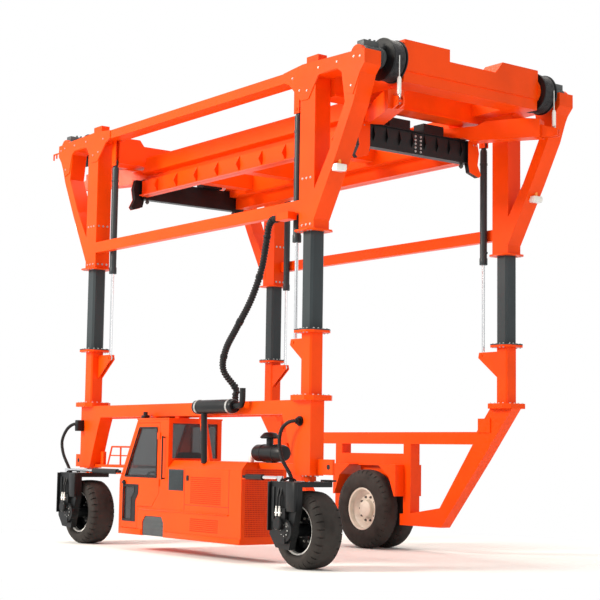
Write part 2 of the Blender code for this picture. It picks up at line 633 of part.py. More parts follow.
def build_spreader_end(label, sx):
    out = SPREADER_END
    beam = block((out - END_BEAM_DEPTH, -1.0, 5.81), (out, 1.0, 6.15))
    pieces = [beam]
    for sy in (-1, 1):
        y0, y1 = span(0.13, 0.52, sy)
        pieces.append(block((2.76, y0, 6.14), (out - 0.02, y1, 6.30)))
        guide = [(0.95, 6.14), (1.12, 6.14), (1.16, 5.98), (1.13, 5.80), (1.20, 5.66), (1.16, 5.62),
                 (0.98, 5.68), (0.95, 5.80)]
        pieces.append(prism(mirrored(guide, sy), "x", out - 0.03, out + 0.05))
    end = weld(*pieces)
    if sx < 0:
        turn_about(end, math.pi, (0, 0, 0))
    return finish("spreader_end_" + label, end, black())


def build_wheel_fork(label, sx):
    axis_x = sx * LEG_X
    low = FORK_TOP - FORK_PLATE
    plate = block((-0.40, -0.34, low), (0.20, 0.22, FORK_TOP))
    arm_outline = [(-0.38, FORK_TOP - 0.01), (-0.38, WHEEL_RADIUS - 0.065), (-0.24, WHEEL_RADIUS - 0.235),
                   (0.05, WHEEL_RADIUS - 0.255), (0.12, WHEEL_RADIUS - 0.015), (0.20, WHEEL_RADIUS + 0.265),
                   (0.20, FORK_TOP - 0.01)]
    arm = prism(arm_outline, "y", LEG_Y - FORK_ARM_OUT, LEG_Y - FORK_ARM_IN)
    pin = rod(KINGPIN, "z", (0, 0, 0), FORK_TOP - 0.02, FORK_TOP + 0.25)
    hub_y = LEG_Y - FORK_ARM_OUT
    motor = rod(0.15, "y", (0, 0, WHEEL_RADIUS), hub_y - 0.04, LEG_Y - FORK_ARM_IN - 0.01)
    spindle = rod(AXLE_RADIUS, "y", (0, 0, WHEEL_RADIUS), LEG_Y - FORK_ARM_IN - 0.03, LEG_Y - WHEEL_Y + 0.10)
    wheel_motor = block((-0.20, hub_y - 0.05, WHEEL_RADIUS - 0.175), (0.02, hub_y + 0.02, WHEEL_RADIUS + 0.285))
    fork = weld(plate, arm, pin, motor, spindle, wheel_motor)
    move(fork, (axis_x, -LEG_Y, 0))
    return finish("wheel_fork_" + label, fork, black(), (axis_x, -LEG_Y, WHEEL_RADIUS))


def tyre_profile(radius, rim, half_width):
    shoulder = 0.05
    bead = min(rim + 0.08, (rim + radius - shoulder) / 2 + 0.02)
    return [(rim, -half_width + 0.03), (bead, -half_width), (radius - shoulder, -half_width),
            (radius - 0.015, -half_width + shoulder), (radius, -half_width + shoulder + 0.03),
            (radius, half_width - shoulder - 0.03), (radius - 0.015, half_width - shoulder),
            (radius - shoulder, half_width), (bead, half_width), (rim, half_width - 0.03)]


def build_near_wheel(label, sx):
    centre = (sx * LEG_X, -WHEEL_Y, WHEEL_RADIUS)
    half = WHEEL_WIDTH / 2
    tyre = turned(tyre_profile(WHEEL_RADIUS, RIM_RADIUS, half), "y", centre, TYRE_ROUND)
    finish("tyre_" + label, tyre, rubber(), centre)
    lip = RIM_RADIUS - GAP
    disc = 0.02
    profile = [(AXLE_RADIUS + PIN_GAP, -disc), (AXLE_RADIUS + PIN_GAP, disc), (lip - 0.03, disc + 0.01),
               (lip - 0.03, half - 0.03), (lip, half - 0.03), (lip, -half + 0.03), (lip - 0.03, -half + 0.03),
               (lip - 0.03, -disc - 0.01)]
    wheel_rim = turned(profile, "y", centre, TYRE_ROUND)
    return finish("rim_" + label, wheel_rim, rim_white(), centre)


def build_twin_wheel():
    centre = (0, 0, TWIN_RADIUS)
    for label, (low, high) in (("inner", TWIN_IN), ("outer", TWIN_OUT)):
        middle, half = (low + high) / 2, (high - low) / 2
        tyre = turned(tyre_profile(TWIN_RADIUS, TWIN_RIM, half), "y", (0, middle, TWIN_RADIUS), TYRE_ROUND)
        finish("twin_tyre_" + label, tyre, rubber(), (0, middle, TWIN_RADIUS))
    lip = TWIN_RIM - GAP
    web = 0.03
    low, high = TWIN_IN[0] + 0.03, TWIN_OUT[1] - 0.03
    profile = [(0, low + 0.05), (0.14, low + 0.05), (0.16, low + 0.14), (lip - 0.03, low + 0.14),
               (lip - 0.03, low), (lip, low), (lip, TWIN_IN[1] - 0.03), (lip - 0.03, TWIN_IN[1] - 0.03),
               (lip - 0.03, low + 0.14 + web), (TWIN_AXLE, low + 0.14 + web),
               (TWIN_AXLE, high - 0.14 - web), (lip - 0.03, high - 0.14 - web), (lip - 0.03, TWIN_OUT[0] + 0.03),
               (lip, TWIN_OUT[0] + 0.03), (lip, high), (lip - 0.03, high), (lip - 0.03, high - 0.14),
               (0.16, high - 0.14), (0.14, high - 0.05), (0, high - 0.05)]
    hub = turned(profile, "y", centre, TYRE_ROUND)
    return finish("twin_wheel_hub", hub, rim_white(), (0, TWIN_MIDDLE, TWIN_RADIUS))


STEERING = [  # label, way the rod points, barrel pivot X, barrel length, inner end of the rod
    ("front", -1, FRONT_BARREL_X, FRONT_BARREL_LENGTH, FRONT_ROD_TAIL),
    ("rear", 1, REAR_BARREL_X, REAR_BARREL_LENGTH, REAR_ROD_TAIL),
]


def build_steering_cylinder(label, way, pivot_x, length, tail):
    y = -LEG_Y + STEER_PIN[1]
    pin_x = way * LEG_X + STEER_PIN[0]
    pivot = (pivot_x, y, STEER_ROD_Z)
    eye_half = 0.02
    mouth = STEER_ROD + PIN_GAP
    profile = [(0, 0.045), (STEER_BARREL, 0.045), (STEER_BARREL, length), (mouth, length),
               (mouth, length - 0.05), (0.030, length - 0.06), (0.030, 0.07), (0, 0.07)]
    barrel = turned([(r, way * s) for r, s in profile], "x", pivot, ROUND)
    eye = weld(rod(0.036, "z", (pivot_x, y, STEER_ROD_Z), -eye_half, eye_half, ROUND),
               block((min(pivot_x, pivot_x + way * 0.05), y - 0.02, STEER_ROD_Z - eye_half),
                     (max(pivot_x, pivot_x + way * 0.05), y + 0.02, STEER_ROD_Z + eye_half)))
    bore = rod(PIN_RADIUS * 0.6 + PIN_GAP, "z", (pivot_x, y, STEER_ROD_Z), -0.1, 0.1, SMALL_ROUND)
    barrel = cut(weld(barrel, eye), bore)
    finish("steer_barrel_" + label, barrel, black(), pivot)
    start = way * (abs(pin_x - pivot_x) - 0.03)
    shaft = rod(STEER_ROD, "x", (pivot_x, y, STEER_ROD_Z), *sorted((way * tail, start)))
    foot = FORK_TOP + GAP - STEER_ROD_Z
    head = rod(0.045, "z", (pin_x, y, STEER_ROD_Z), foot, 0.026)
    return finish("steer_rod_" + label, weld(shaft, head), chrome(), (pin_x, y, STEER_ROD_Z))


def cab_front_x(z):
    """Where the cab's outer front face lies at a height."""
    slope = (CAB_ROOF - KNEE) / LEAN
    return CAB_FRONT + max(0.0, z - KNEE) / slope


def cab_side(inset, floor):
    """The cab's outline in X and Z, inset from its walls, with a stepped floor."""
    roof = CAB_ROOF - inset
    return [(CAB_FRONT + inset, floor), (CAB_FRONT + inset, KNEE), (cab_front_x(roof) + inset, roof),
            (CAB_REAR - inset, roof)]


def door_outline(gap):
    low, sill, high = 0.34 + gap, 0.68 + gap, DOOR_HIGH - gap
    rear = -0.34 - gap
    front = 0.055 + gap
    return [(CAB_FRONT + front, low), (CAB_FRONT + front, KNEE), (cab_front_x(high) + front, high),
            (rear, high), (rear, 0.90), (rear - 0.20, sill), (-0.95 - gap, sill), (-0.95 - gap, low)]


def door_window(inset):
    low, high = SCREEN_LOW - 0.02 + inset, DOOR_HIGH - 0.075 - inset
    front = 0.13 + inset
    return [(cab_front_x(low) + front, low), (cab_front_x(high) + front, high), (-0.42 - inset, high),
            (-0.42 - inset, low)]


def build_cab():
    outer = cab_side(0, SKIRT_LOW) + [(CAB_REAR, SKIRT_LOW)]
    shell = prism(outer, "y", -MODULE_OUTER, -CAB_INNER)
    inner = cab_side(CAB_WALL, FLOOR_LOW) + [(CAB_REAR - CAB_WALL, FLOOR_HIGH), (-0.92, FLOOR_HIGH),
                                              (-0.92, FLOOR_LOW)]
    near_wall = -MODULE_OUTER + CAB_WALL
    cutters = [prism(inner, "y", near_wall, -CAB_INNER - CAB_WALL),
               prism(door_outline(0), "y", -MODULE_OUTER - 0.1, near_wall + 0.01)]
    # windscreen, rear window and inner side window
    low, high = SCREEN_LOW, SCREEN_HIGH
    front = [(cab_front_x(low) - 0.1, low), (cab_front_x(high) - 0.1, high), (cab_front_x(high) + 0.12, high),
             (cab_front_x(low) + 0.12, low)]
    cutters.append(prism(front, "y", -MODULE_OUTER + PANE_MARGIN, -CAB_INNER - PANE_MARGIN))
    rear_low = HOOD_TOP + 0.03
    cutters.append(block((CAB_REAR - 0.2, -MODULE_OUTER + PANE_MARGIN, rear_low),
                         (CAB_REAR + 0.1, -CAB_INNER - PANE_MARGIN, high)))
    cutters.append(block((-0.90, -CAB_INNER - 0.2, low), (CAB_REAR - 0.10, -CAB_INNER + 0.1, high - 0.04)))
    # step recess in the near skirt
    arch = [(-0.80, SKIRT_LOW - 0.1), (-0.20, SKIRT_LOW - 0.1), (-0.20, 0.46), (-0.26, 0.55), (-0.72, 0.55),
            (-0.80, 0.46)]
    cutters.append(prism(arch, "y", -MODULE_OUTER - 0.1, -MODULE_OUTER + 0.28))
    shell = cut(shell, *cutters)
    pivot_y = -LEG_Y + STEER_PIN[1]
    lug_high = STEER_ROD_Z - 0.02 - GAP
    lug_front = block((FRONT_BARREL_X - 0.03, pivot_y - 0.035, lug_high - LUG_THICKNESS),
                      (cab_front_x(lug_high - LUG_THICKNESS) + 0.037, pivot_y + 0.035, lug_high))
    pin = rod(PIN_RADIUS * 0.6, "z", (FRONT_BARREL_X, pivot_y, STEER_ROD_Z), -0.03, 0.024, SMALL_ROUND)
    shell = weld(shell, weld(lug_front, pin))
    finish("cab_shell", shell, paint())

    pane_x = CAB_REAR - 0.03
    pane = block((pane_x, -MODULE_OUTER + PANE_MARGIN + GAP, rear_low + GAP),
                 (pane_x + GLASS_THICKNESS, -CAB_INNER - PANE_MARGIN - GAP, high - GAP))
    finish("cab_rear_glass", pane, glass(), smooth=False)
    depth = 0.02
    thick = GLASS_THICKNESS
    low, high = low + GAP, high - GAP
    screen = [(cab_front_x(low) + depth, low), (cab_front_x(high) + depth, high),
              (cab_front_x(high) + depth + thick, high), (cab_front_x(low) + depth + thick, low)]
    pane = prism(screen, "y", -MODULE_OUTER + PANE_MARGIN + GAP, -CAB_INNER - PANE_MARGIN - GAP)
    finish("cab_front_glass", pane, glass(), smooth=False)

    knuckle_radius = 0.008
    hinge = (-0.335, -MODULE_OUTER - knuckle_radius - 2 * GAP, 1.15)
    door = prism(door_outline(DOOR_GAP), "y", -MODULE_OUTER, near_wall)
    low_window = [(-1.38, 0.47), (-1.38, 0.98), (-1.04, 0.98), (-1.04, 0.90), (-1.13, 0.80), (-1.13, 0.47)]
    door = cut(door, prism(door_window(0), "y", -MODULE_OUTER - 0.1, near_wall + 0.1),
               prism(low_window, "y", -MODULE_OUTER - 0.1, near_wall + 0.1))
    hinges = []
    for z in (KNEE - 0.02, DOOR_HIGH - 0.20):
        knuckle = rod(knuckle_radius, "z", (hinge[0], hinge[1], z), -0.05, 0.05, 12)
        leaf = prism([(hinge[0] - 0.07, -MODULE_OUTER + 0.002), (hinge[0] - 0.07, hinge[1] - 0.004),
                      (hinge[0], hinge[1] - 0.004), (hinge[0], hinge[1] + 0.002),
                      (hinge[0] - 0.015, hinge[1] + 0.002), (hinge[0] - 0.015, -MODULE_OUTER + 0.002)],
                     "z", z - 0.05, z + 0.05)
        hinges.append(weld(leaf, knuckle))
    finish("cab_door", weld(door, *hinges), paint(), hinge)
    low_y = -MODULE_OUTER + 0.02
    pane = prism(door_window(GAP), "y", low_y, low_y + GLASS_THICKNESS)
    finish("cab_door_glass", pane, glass(), hinge, smooth=False)


def build_cab_inside():
    seat_y, seat_z = -(MODULE_OUTER + CAB_INNER) / 2 - 0.005, FLOOR_HIGH
    base = block((-0.72, seat_y - 0.18, seat_z + GAP), (-0.40, seat_y + 0.18, seat_z + 0.22))
    cushion = block((-0.88, seat_y - 0.24, seat_z + 0.20), (-0.38, seat_y + 0.24, seat_z + 0.33))
    back = prism([(-0.42, seat_z + 0.22), (-0.30, seat_z + 0.90), (-0.20, seat_z + 0.90), (-0.28, seat_z + 0.22)],
                 "y", seat_y - 0.22, seat_y + 0.22)
    finish("driver_seat", weld(base, cushion, back), fabric())
    column = prism([(-1.36, FLOOR_LOW + GAP), (-1.22, FLOOR_LOW + GAP), (-1.10, 1.02), (-1.16, 1.05),
                    (-1.30, 1.02)], "y", seat_y - 0.12, seat_y + 0.12)
    wheel = ring(0.19, 0.16, "z", (0, 0, 0), -0.012, 0.012, ROUND)
    spoke = block((-0.17, -0.02, -0.01), (0.17, 0.02, 0.01))
    hub = rod(0.05, "z", (0, 0, 0), -0.10, 0.015, SMALL_ROUND)
    steering = weld(wheel, spoke, hub)
    steering.data.transform(Matrix.Translation((-1.10, seat_y, 1.12)) @ Matrix.Rotation(math.radians(25), 4, "Y"))
    finish("console", weld(column, steering), fabric())


def build_hood():
    def section(inset, low):
        return [(-MODULE_OUTER + inset, low), (-MODULE_OUTER + inset, HOOD_TOP - HOOD_SLANT),
                (-MODULE_OUTER + inset + 0.09, HOOD_TOP - inset), (-HOOD_INNER - inset, HOOD_TOP - inset),
                (-HOOD_INNER - inset, low)]
    start = CAB_REAR + GAP
    hood = prism(section(0, SKIRT_LOW), "x", start, HOOD_END)
    hood = cut(hood, prism(section(HOOD_WALL, SKIRT_LOW - 0.1), "x", start + HOOD_WALL, HOOD_END - HOOD_WALL))
    pivot_y = -LEG_Y + STEER_PIN[1]
    lug = block((HOOD_END - 0.02, pivot_y - 0.018, STEER_ROD_Z - 0.02 - 0.016 - GAP),
                (REAR_BARREL_X + 0.03, pivot_y + 0.05, STEER_ROD_Z - 0.02 - GAP))
    pin = rod(PIN_RADIUS * 0.6, "z", (REAR_BARREL_X, pivot_y, STEER_ROD_Z), -0.03, 0.024, SMALL_ROUND)
    finish("hood", weld(hood, weld(lug, pin)), paint())
    side = HOOD_WALL + GAP
    engine = block((0.35, -MODULE_OUTER + side, 0.45), (1.35, -HOOD_INNER - side, 1.15))
    finish("engine_block", engine, iron(), smooth=False)


def build_exhaust():
    axis_y, axis_z, radius = -EXHAUST_Y, 2.17, 0.10
    body = rod(radius, "x", (0, axis_y, axis_z), 0.53, 1.52, 24)
    tail = rod(0.042, "x", (0, axis_y, axis_z), 1.50, 1.74, SMALL_ROUND)
    elbow = rod(0.042, "z", (1.70, axis_y, 0), axis_z - 0.03, 2.42, SMALL_ROUND)
    foot_z = HOOD_TOP - 0.09
    down = prism([(0.72, foot_z), (0.81, foot_z), (0.78, 2.12), (0.69, 2.12)], "y", axis_y - 0.045, axis_y + 0.045)
    strap = block((0.95, axis_y + 0.02, axis_z - 0.09), (1.05, -NEAR_OUTER - GAP, axis_z + 0.05))
    corner = HOOD_TOP - HOOD_SLANT + GAP
    keep = prism([(-MODULE_OUTER - 0.05, 1.0), (-MODULE_OUTER - 0.05, corner), (-MODULE_OUTER, corner),
                  (-MODULE_OUTER + 0.09, HOOD_TOP + GAP), (-MODULE_OUTER + 0.25, HOOD_TOP + GAP),
                  (-MODULE_OUTER + 0.25, 1.0)], "x", 0.5, 1.0)
    down = cut(down, keep)
    finish("muffler", weld(body, tail, elbow, down, strap), dark_steel())
    start = HOOD_END - 0.14
    centre_y, centre_z = -LEG_Y + 0.03, ARM_SEAT + 0.135
    drum = rod(0.125, "x", (start, centre_y, centre_z), 0, 0.70, 24)
    saddle = block((start + 0.29, centre_y - 0.04, ARM_SEAT + GAP), (start + 0.44, centre_y + 0.04, ARM_SEAT + 0.065))
    neck_x = start + 0.33
    neck = rod(0.05, "z", (neck_x, centre_y, centre_z), 0.05, 0.22, SMALL_ROUND)
    cap_profile = [(0, 0.20), (0.14, 0.20), (0.14, 0.23), (0.08, 0.29), (0, 0.29)]
    cap = turned(cap_profile, "z", (neck_x, centre_y, centre_z), 24)
    finish("air_cleaner", weld(drum, saddle, neck, cap), black())


def smooth_route(route, count):
    """Points of a Catmull-Rom curve through the route, at even steps of its parameter."""
    points = [Vector(point) for point in route]
    ends = [2 * points[0] - points[1]] + points + [2 * points[-1] - points[-2]]
    result = []
    for step in range(count + 1):
        place = step / count * (len(points) - 1)
        index = min(int(place), len(points) - 2)
        t = place - index
        p0, p1, p2, p3 = ends[index:index + 4]
        result.append(0.5 * (2 * p1 + (p2 - p0) * t + (2 * p0 - 5 * p1 + 4 * p2 - p3) * t * t
                             + (3 * p1 - p0 - 3 * p2 + p3) * t ** 3))
    return result


def build_hose():
    curve = bpy.data.curves.new("supply_hose", "CURVE")
    curve.dimensions = "3D"
    curve.bevel_depth = HOSE_RADIUS
    curve.bevel_resolution = 2
    curve.use_fill_caps = True
    points = smooth_route(HOSE_ROUTE, 30)
    spline = curve.splines.new("POLY")
    spline.points.add(len(points) - 1)
    for slot, point in zip(spline.points, points):
        slot.co = (*point, 1.0)
    curve.materials.append(rubber())
    thing = bpy.data.objects.new("supply_hose", curve)
    bpy.context.scene.collection.objects.link(thing)


def main():
    for thing in list(bpy.data.objects):
        bpy.data.objects.remove(thing, do_unlink=True)
    build_near_side_frame()
    build_far_side_frame()
    for corner in CORNERS:
        build_leg_post(*corner)
        build_mast(*corner)
        build_lift_rod(*corner)
        build_lift_barrel(*corner)
        build_rope_drum(*corner)
    for label, sy in (("near", -1), ("far", 1)):
        build_upper_side(label, sy)
    build_spreader_frame()
    for label, sx in (("front", -1), ("rear", 1)):
        build_head(label, sx)
        build_spreader_end(label, sx)
        build_wheel_fork(label, sx)
        build_near_wheel(label, sx)
    build_twin_wheel()
    for cylinder in STEERING:
        build_steering_cylinder(*cylinder)
    build_cab()
    build_cab_inside()
    build_hood()
    build_exhaust()
    build_hose()


main()
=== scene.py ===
import json
import math

import bmesh
import bpy
from mathutils import Matrix, Vector


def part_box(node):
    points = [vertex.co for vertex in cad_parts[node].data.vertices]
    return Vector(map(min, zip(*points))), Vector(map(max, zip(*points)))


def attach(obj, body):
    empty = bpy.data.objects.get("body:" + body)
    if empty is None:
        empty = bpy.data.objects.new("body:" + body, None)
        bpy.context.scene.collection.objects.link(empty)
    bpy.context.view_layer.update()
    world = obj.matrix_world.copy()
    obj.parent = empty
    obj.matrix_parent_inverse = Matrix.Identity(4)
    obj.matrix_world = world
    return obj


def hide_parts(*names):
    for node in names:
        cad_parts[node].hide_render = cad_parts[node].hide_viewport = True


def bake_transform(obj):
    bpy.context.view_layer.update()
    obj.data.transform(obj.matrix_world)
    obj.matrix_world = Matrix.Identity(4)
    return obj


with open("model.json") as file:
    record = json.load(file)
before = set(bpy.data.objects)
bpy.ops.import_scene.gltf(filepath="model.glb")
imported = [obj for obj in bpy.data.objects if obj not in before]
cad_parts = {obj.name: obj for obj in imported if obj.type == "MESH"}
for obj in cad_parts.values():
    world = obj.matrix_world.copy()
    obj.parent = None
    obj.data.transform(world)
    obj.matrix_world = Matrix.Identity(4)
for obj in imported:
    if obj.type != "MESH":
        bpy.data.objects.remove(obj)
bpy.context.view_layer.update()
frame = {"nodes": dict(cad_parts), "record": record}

nodes = frame["nodes"]
corners = [("front_near", -1, -1), ("rear_near", 1, -1), ("front_far", -1, 1), ("rear_far", 1, 1)]
print("frame loaded:", len(nodes), "nodes")


def middle(name):
    low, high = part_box(name)
    return (low + high) / 2


mast, drum, lift = middle("mast_rear_far"), middle("rope_drum_rear_far"), middle("lift_barrel_rear_far")
legX, legY = mast.x, mast.y  # the other three corners mirror these
liftX, liftY = lift.x, lift.y
drumX, drumZ = drum.x, drum.z
wheelZ = middle("tyre_rear").z
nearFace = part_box("hood")[0].y  # outer face of the hood and the cab door

# ---------- materials


def newMaterial(name):
    material = bpy.data.materials.new(name)
    material.use_nodes = True
    tree = material.node_tree
    return material, tree, tree.nodes["Principled BSDF"]


def noiseNode(tree, scale, detail=4.0, roughness=0.55, stretch=(1, 1, 1)):
    coords = tree.nodes.new("ShaderNodeTexCoord")
    mapping = tree.nodes.new("ShaderNodeMapping")
    mapping.inputs["Scale"].default_value = stretch
    noise = tree.nodes.new("ShaderNodeTexNoise")
    noise.inputs["Scale"].default_value = scale
    noise.inputs["Detail"].default_value = detail
    noise.inputs["Roughness"].default_value = roughness
    tree.links.new(coords.outputs["Object"], mapping.inputs["Vector"])
    tree.links.new(mapping.outputs["Vector"], noise.inputs["Vector"])
    return noise


def rampNode(tree, source, stops):
    ramp = tree.nodes.new("ShaderNodeValToRGB")
    elements = ramp.color_ramp.elements
    while len(elements) < len(stops):
        elements.new(0.5)
    for element, (place, colour) in zip(elements, stops):
        element.position = place
        element.color = (*colour, 1.0)
    tree.links.new(source, ramp.inputs["Fac"])
    return ramp


def surface(name, settings):
    # a colour that varies softly, a roughness that varies more, and a fine bump
    material, tree, shader = newMaterial(name)
    base = Vector(settings["colour"])
    vary = settings.get("vary", 0.12)
    noise = noiseNode(tree, settings.get("scale", 3.0), stretch=settings.get("stretch", (1, 1, 1)))
    dark = tuple(base * (1 - vary))
    light = tuple(min(1.0, c * (1 + vary * 0.5)) for c in base)
    ramp = rampNode(tree, noise.outputs["Fac"], [(0.3, dark), (0.5, tuple(base)), (0.72, light)])
    tree.links.new(ramp.outputs["Color"], shader.inputs["Base Color"])
    rough = settings.get("rough", 0.4)
    swing = settings.get("roughSwing", 0.12)
    wear = noiseNode(tree, settings.get("wearScale", 14.0), 6.0)
    spread = tree.nodes.new("ShaderNodeMapRange")
    spread.inputs["To Min"].default_value = max(0.03, rough - swing)
    spread.inputs["To Max"].default_value = min(1.0, rough + swing)
    tree.links.new(wear.outputs["Fac"], spread.inputs["Value"])
    tree.links.new(spread.outputs["Result"], shader.inputs["Roughness"])
    grain = noiseNode(tree, settings.get("grainScale", 220.0), 2.0)
    bump = tree.nodes.new("ShaderNodeBump")
    bump.inputs["Strength"].default_value = settings.get("bump", 0.06)
    bump.inputs["Distance"].default_value = settings.get("bumpDistance", 0.002)
    tree.links.new(grain.outputs["Fac"], bump.inputs["Height"])
    tree.links.new(bump.outputs["Normal"], shader.inputs["Normal"])
    shader.inputs["Metallic"].default_value = settings.get("metal", 0.0)
    shader.inputs["Specular IOR Level"].default_value = settings.get("shine", 0.5)
    if settings.get("coat"):
        shader.inputs["Coat Weight"].default_value = settings["coat"]
        shader.inputs["Coat Roughness"].default_value = 0.12
    return material


paints = {
    "orangePaint": {"colour": (0.87, 0.066, 0.001), "vary": 0.12, "scale": 1.3, "rough": 0.36,
        "shine": 0.16, "coat": 0.03, "grainScale": 160.0, "bump": 0.05},
    "slatePaint": {"shine": 0.28, "colour": (0.028, 0.037, 0.042), "vary": 0.25, "scale": 2.2,
        "rough": 0.42, "stretch": (1, 1, 0.3)},
    "blackPaint": {"shine": 0.28, "colour": (0.006, 0.007, 0.008), "vary": 0.35, "scale": 5.0,
        "rough": 0.38, "roughSwing": 0.16},
    "woundRope": {"colour": (0.045, 0.045, 0.048), "vary": 0.4, "scale": 18.0, "rough": 0.5, "metal": 0.6,
        "bump": 0.4, "grainScale": 300.0},
    "motorGrey": {"colour": (0.055, 0.065, 0.070), "vary": 0.15, "scale": 9.0, "rough": 0.55, "bump": 0.15},
    "castIron": {"colour": (0.09, 0.09, 0.09), "vary": 0.2, "scale": 9.0, "rough": 0.62, "metal": 0.5,
        "bump": 0.25},
    "chrome": {"colour": (0.72, 0.73, 0.75), "vary": 0.05, "scale": 6.0, "rough": 0.16, "roughSwing": 0.06,
        "metal": 1.0, "bump": 0.02, "stretch": (1, 1, 0.05)},
    "steelBolt": {"colour": (0.52, 0.52, 0.50), "vary": 0.2, "scale": 30.0, "rough": 0.35, "metal": 0.9,
        "bump": 0.05},
    # darker orange for the perforated mesh panels: painted shade of their dark holes and recesses
    "paintedShadeOrange": {"colour": (0.62, 0.030, 0.003), "vary": 0.15, "scale": 9.0, "rough": 0.6,
        "shine": 0.2},
    "rubber": {"shine": 0.28, "colour": (0.030, 0.026, 0.024), "vary": 0.45, "scale": 4.0, "rough": 0.82,
        "bump": 0.35, "grainScale": 90.0, "bumpDistance": 0.003},
    "hoseRubber": {"shine": 0.28, "colour": (0.010, 0.010, 0.011), "vary": 0.3, "scale": 12.0,
        "rough": 0.5},
    "rimCream": {"colour": (0.70, 0.66, 0.58), "vary": 0.18, "scale": 7.0, "rough": 0.45, "bump": 0.1},
    "seatCloth": {"colour": (0.020, 0.021, 0.024), "vary": 0.25, "scale": 20.0, "rough": 0.92, "bump": 0.6,
        "grainScale": 700.0, "bumpDistance": 0.001},
    "lampLens": {"colour": (0.82, 0.84, 0.86), "vary": 0.04, "scale": 40.0, "rough": 0.12, "bump": 0.3,
        "grainScale": 120.0},
    "amberLens": {"colour": (0.95, 0.30, 0.02), "vary": 0.05, "scale": 40.0, "rough": 0.15},
    "warningWhite": {"colour": (0.80, 0.80, 0.78), "vary": 0.04, "scale": 12.0, "rough": 0.4},
}
finishes = {name: surface(name, settings) for name, settings in paints.items()}


glassShade = {"dark": (0.020, 0.024, 0.028), "light": (0.035, 0.040, 0.045), "clear": 0.50, "smoked": 0.94}


def tintedGlass(name, alpha):
    material, tree, shader = newMaterial(name)
    noise = noiseNode(tree, 1.6)
    ramp = rampNode(tree, noise.outputs["Fac"], [(0.3, glassShade["dark"]), (0.7, glassShade["light"])])
    tree.links.new(ramp.outputs["Color"], shader.inputs["Base Color"])
    shader.inputs["Roughness"].default_value = 0.04
    shader.inputs["Alpha"].default_value = alpha
    shader.inputs["IOR"].default_value = 1.45
    return material


finishes["glass"] = tintedGlass("tintedGlass", glassShade["clear"])
finishes["smokedGlass"] = tintedGlass("smokedGlass", glassShade["smoked"])
cadFinish = {
    "orange_paint": "orangePaint", "dark_steel": "slatePaint", "black_paint": "blackPaint",
    "chrome": "chrome", "rubber": "rubber", "rim_white": "rimCream", "glass": "glass", "fabric": "seatCloth",
    "cast_iron": "castIron",
}
slotOf = {part["node"]: part["material_slot"] for part in frame["record"]["subparts"]}
for name, thing in nodes.items():
    thing.data.materials.clear()
    thing.data.materials.append(finishes[cadFinish[slotOf[name]]])
print("materials ready:", len(finishes))

# ---------- modelling helpers


def addBox(bm, low, high, bevel=0.0):
    low, high = Vector(low), Vector(high)
    size = high - low
    place = Matrix.Translation((low + high) / 2) @ Matrix.Diagonal((*size, 1.0))
    made = bmesh.ops.create_cube(bm, size=1.0, matrix=place)
    if bevel > 0:
        edges = {edge for vert in made["verts"] for edge in vert.link_edges}
        bmesh.ops.bevel(bm, geom=list(edges), offset=bevel, segments=2, profile=0.5, affect="EDGES",
                        material=-1)


def alongMatrix(start, end):
    start, end = Vector(start), Vector(end)
    way = end - start
    turn = way.to_track_quat("Z", "Y").to_matrix().to_4x4()
    return Matrix.Translation((start + end) / 2) @ turn, way.length


def addRod(bm, start, end, radius, sides=20, tip=None):
    matrix, length = alongMatrix(start, end)
    bmesh.ops.create_cone(bm, cap_ends=True, segments=sides, radius1=radius,
                          radius2=radius if tip is None else tip, depth=length, matrix=matrix)


def addPipe(bm, route, radius, sides):
    # straight runs with a ball in each elbow
    for start, end in zip(route, route[1:]):
        addRod(bm, start, end, radius, sides)
    for joint in route[1:-1]:
        bmesh.ops.create_uvsphere(bm, u_segments=sides, v_segments=sides // 2, radius=radius,
                                  matrix=Matrix.Translation(joint))


def thicken(bm, faces, way):
    # pulls flat faces out into a plate and returns its far corners
    grown = bmesh.ops.extrude_face_region(bm, geom=faces)["geom"]
    moved = [item for item in grown if isinstance(item, bmesh.types.BMVert)]
    bmesh.ops.translate(bm, vec=way, verts=moved)
    return moved


def addPlate(bm, outline, way):
    thicken(bm, [bm.faces.new([bm.verts.new(corner) for corner in outline])], way)


def addBolts(bm, places, normal, radius=0.014, height=0.012):
    normal = Vector(normal)
    for place in places:
        foot = Vector(place)
        addRod(bm, foot, foot + normal * height, radius, 6)
        addRod(bm, foot, foot + normal * height * 0.35, radius * 1.35, 10)


def ringPlaces(centre, radius, count, axis="z", turn=0.0):
    places = []
    for index in range(count):
        angle = turn + math.tau * index / count
        a, b = radius * math.cos(angle), radius * math.sin(angle)
        offset = {"x": (0, a, b), "y": (a, 0, b), "z": (a, b, 0)}[axis]
        places.append(Vector(centre) + Vector(offset))
    return places


def addTurned(bm, profile, centre, axis="y", steps=64):
    # profile: (radius, place along the axis), closed
    matrix = {"x": Matrix.Rotation(math.pi / 2, 4, "Y"), "y": Matrix.Rotation(-math.pi / 2, 4, "X"),
              "z": Matrix.Identity(4)}[axis]
    verts = [bm.verts.new((radius, 0, way)) for radius, way in profile]
    edges = [bm.edges.new((verts[i], verts[(i + 1) % len(verts)])) for i in range(len(verts))
             if profile[i][0] > 1e-6 or profile[(i + 1) % len(verts)][0] > 1e-6]  # none along the axis
    before = set(bm.verts) - set(verts)
    bmesh.ops.spin(bm, geom=verts + edges, cent=(0, 0, 0), axis=(0, 0, 1), angle=math.tau, steps=steps,
                   use_merge=True)
    fresh = [vert for vert in bm.verts if vert not in before]
    bmesh.ops.remove_doubles(bm, verts=fresh, dist=0.00002)
    fresh = [vert for vert in bm.verts if vert not in before]
    bmesh.ops.transform(bm, matrix=Matrix.Translation(centre) @ matrix, verts=fresh)


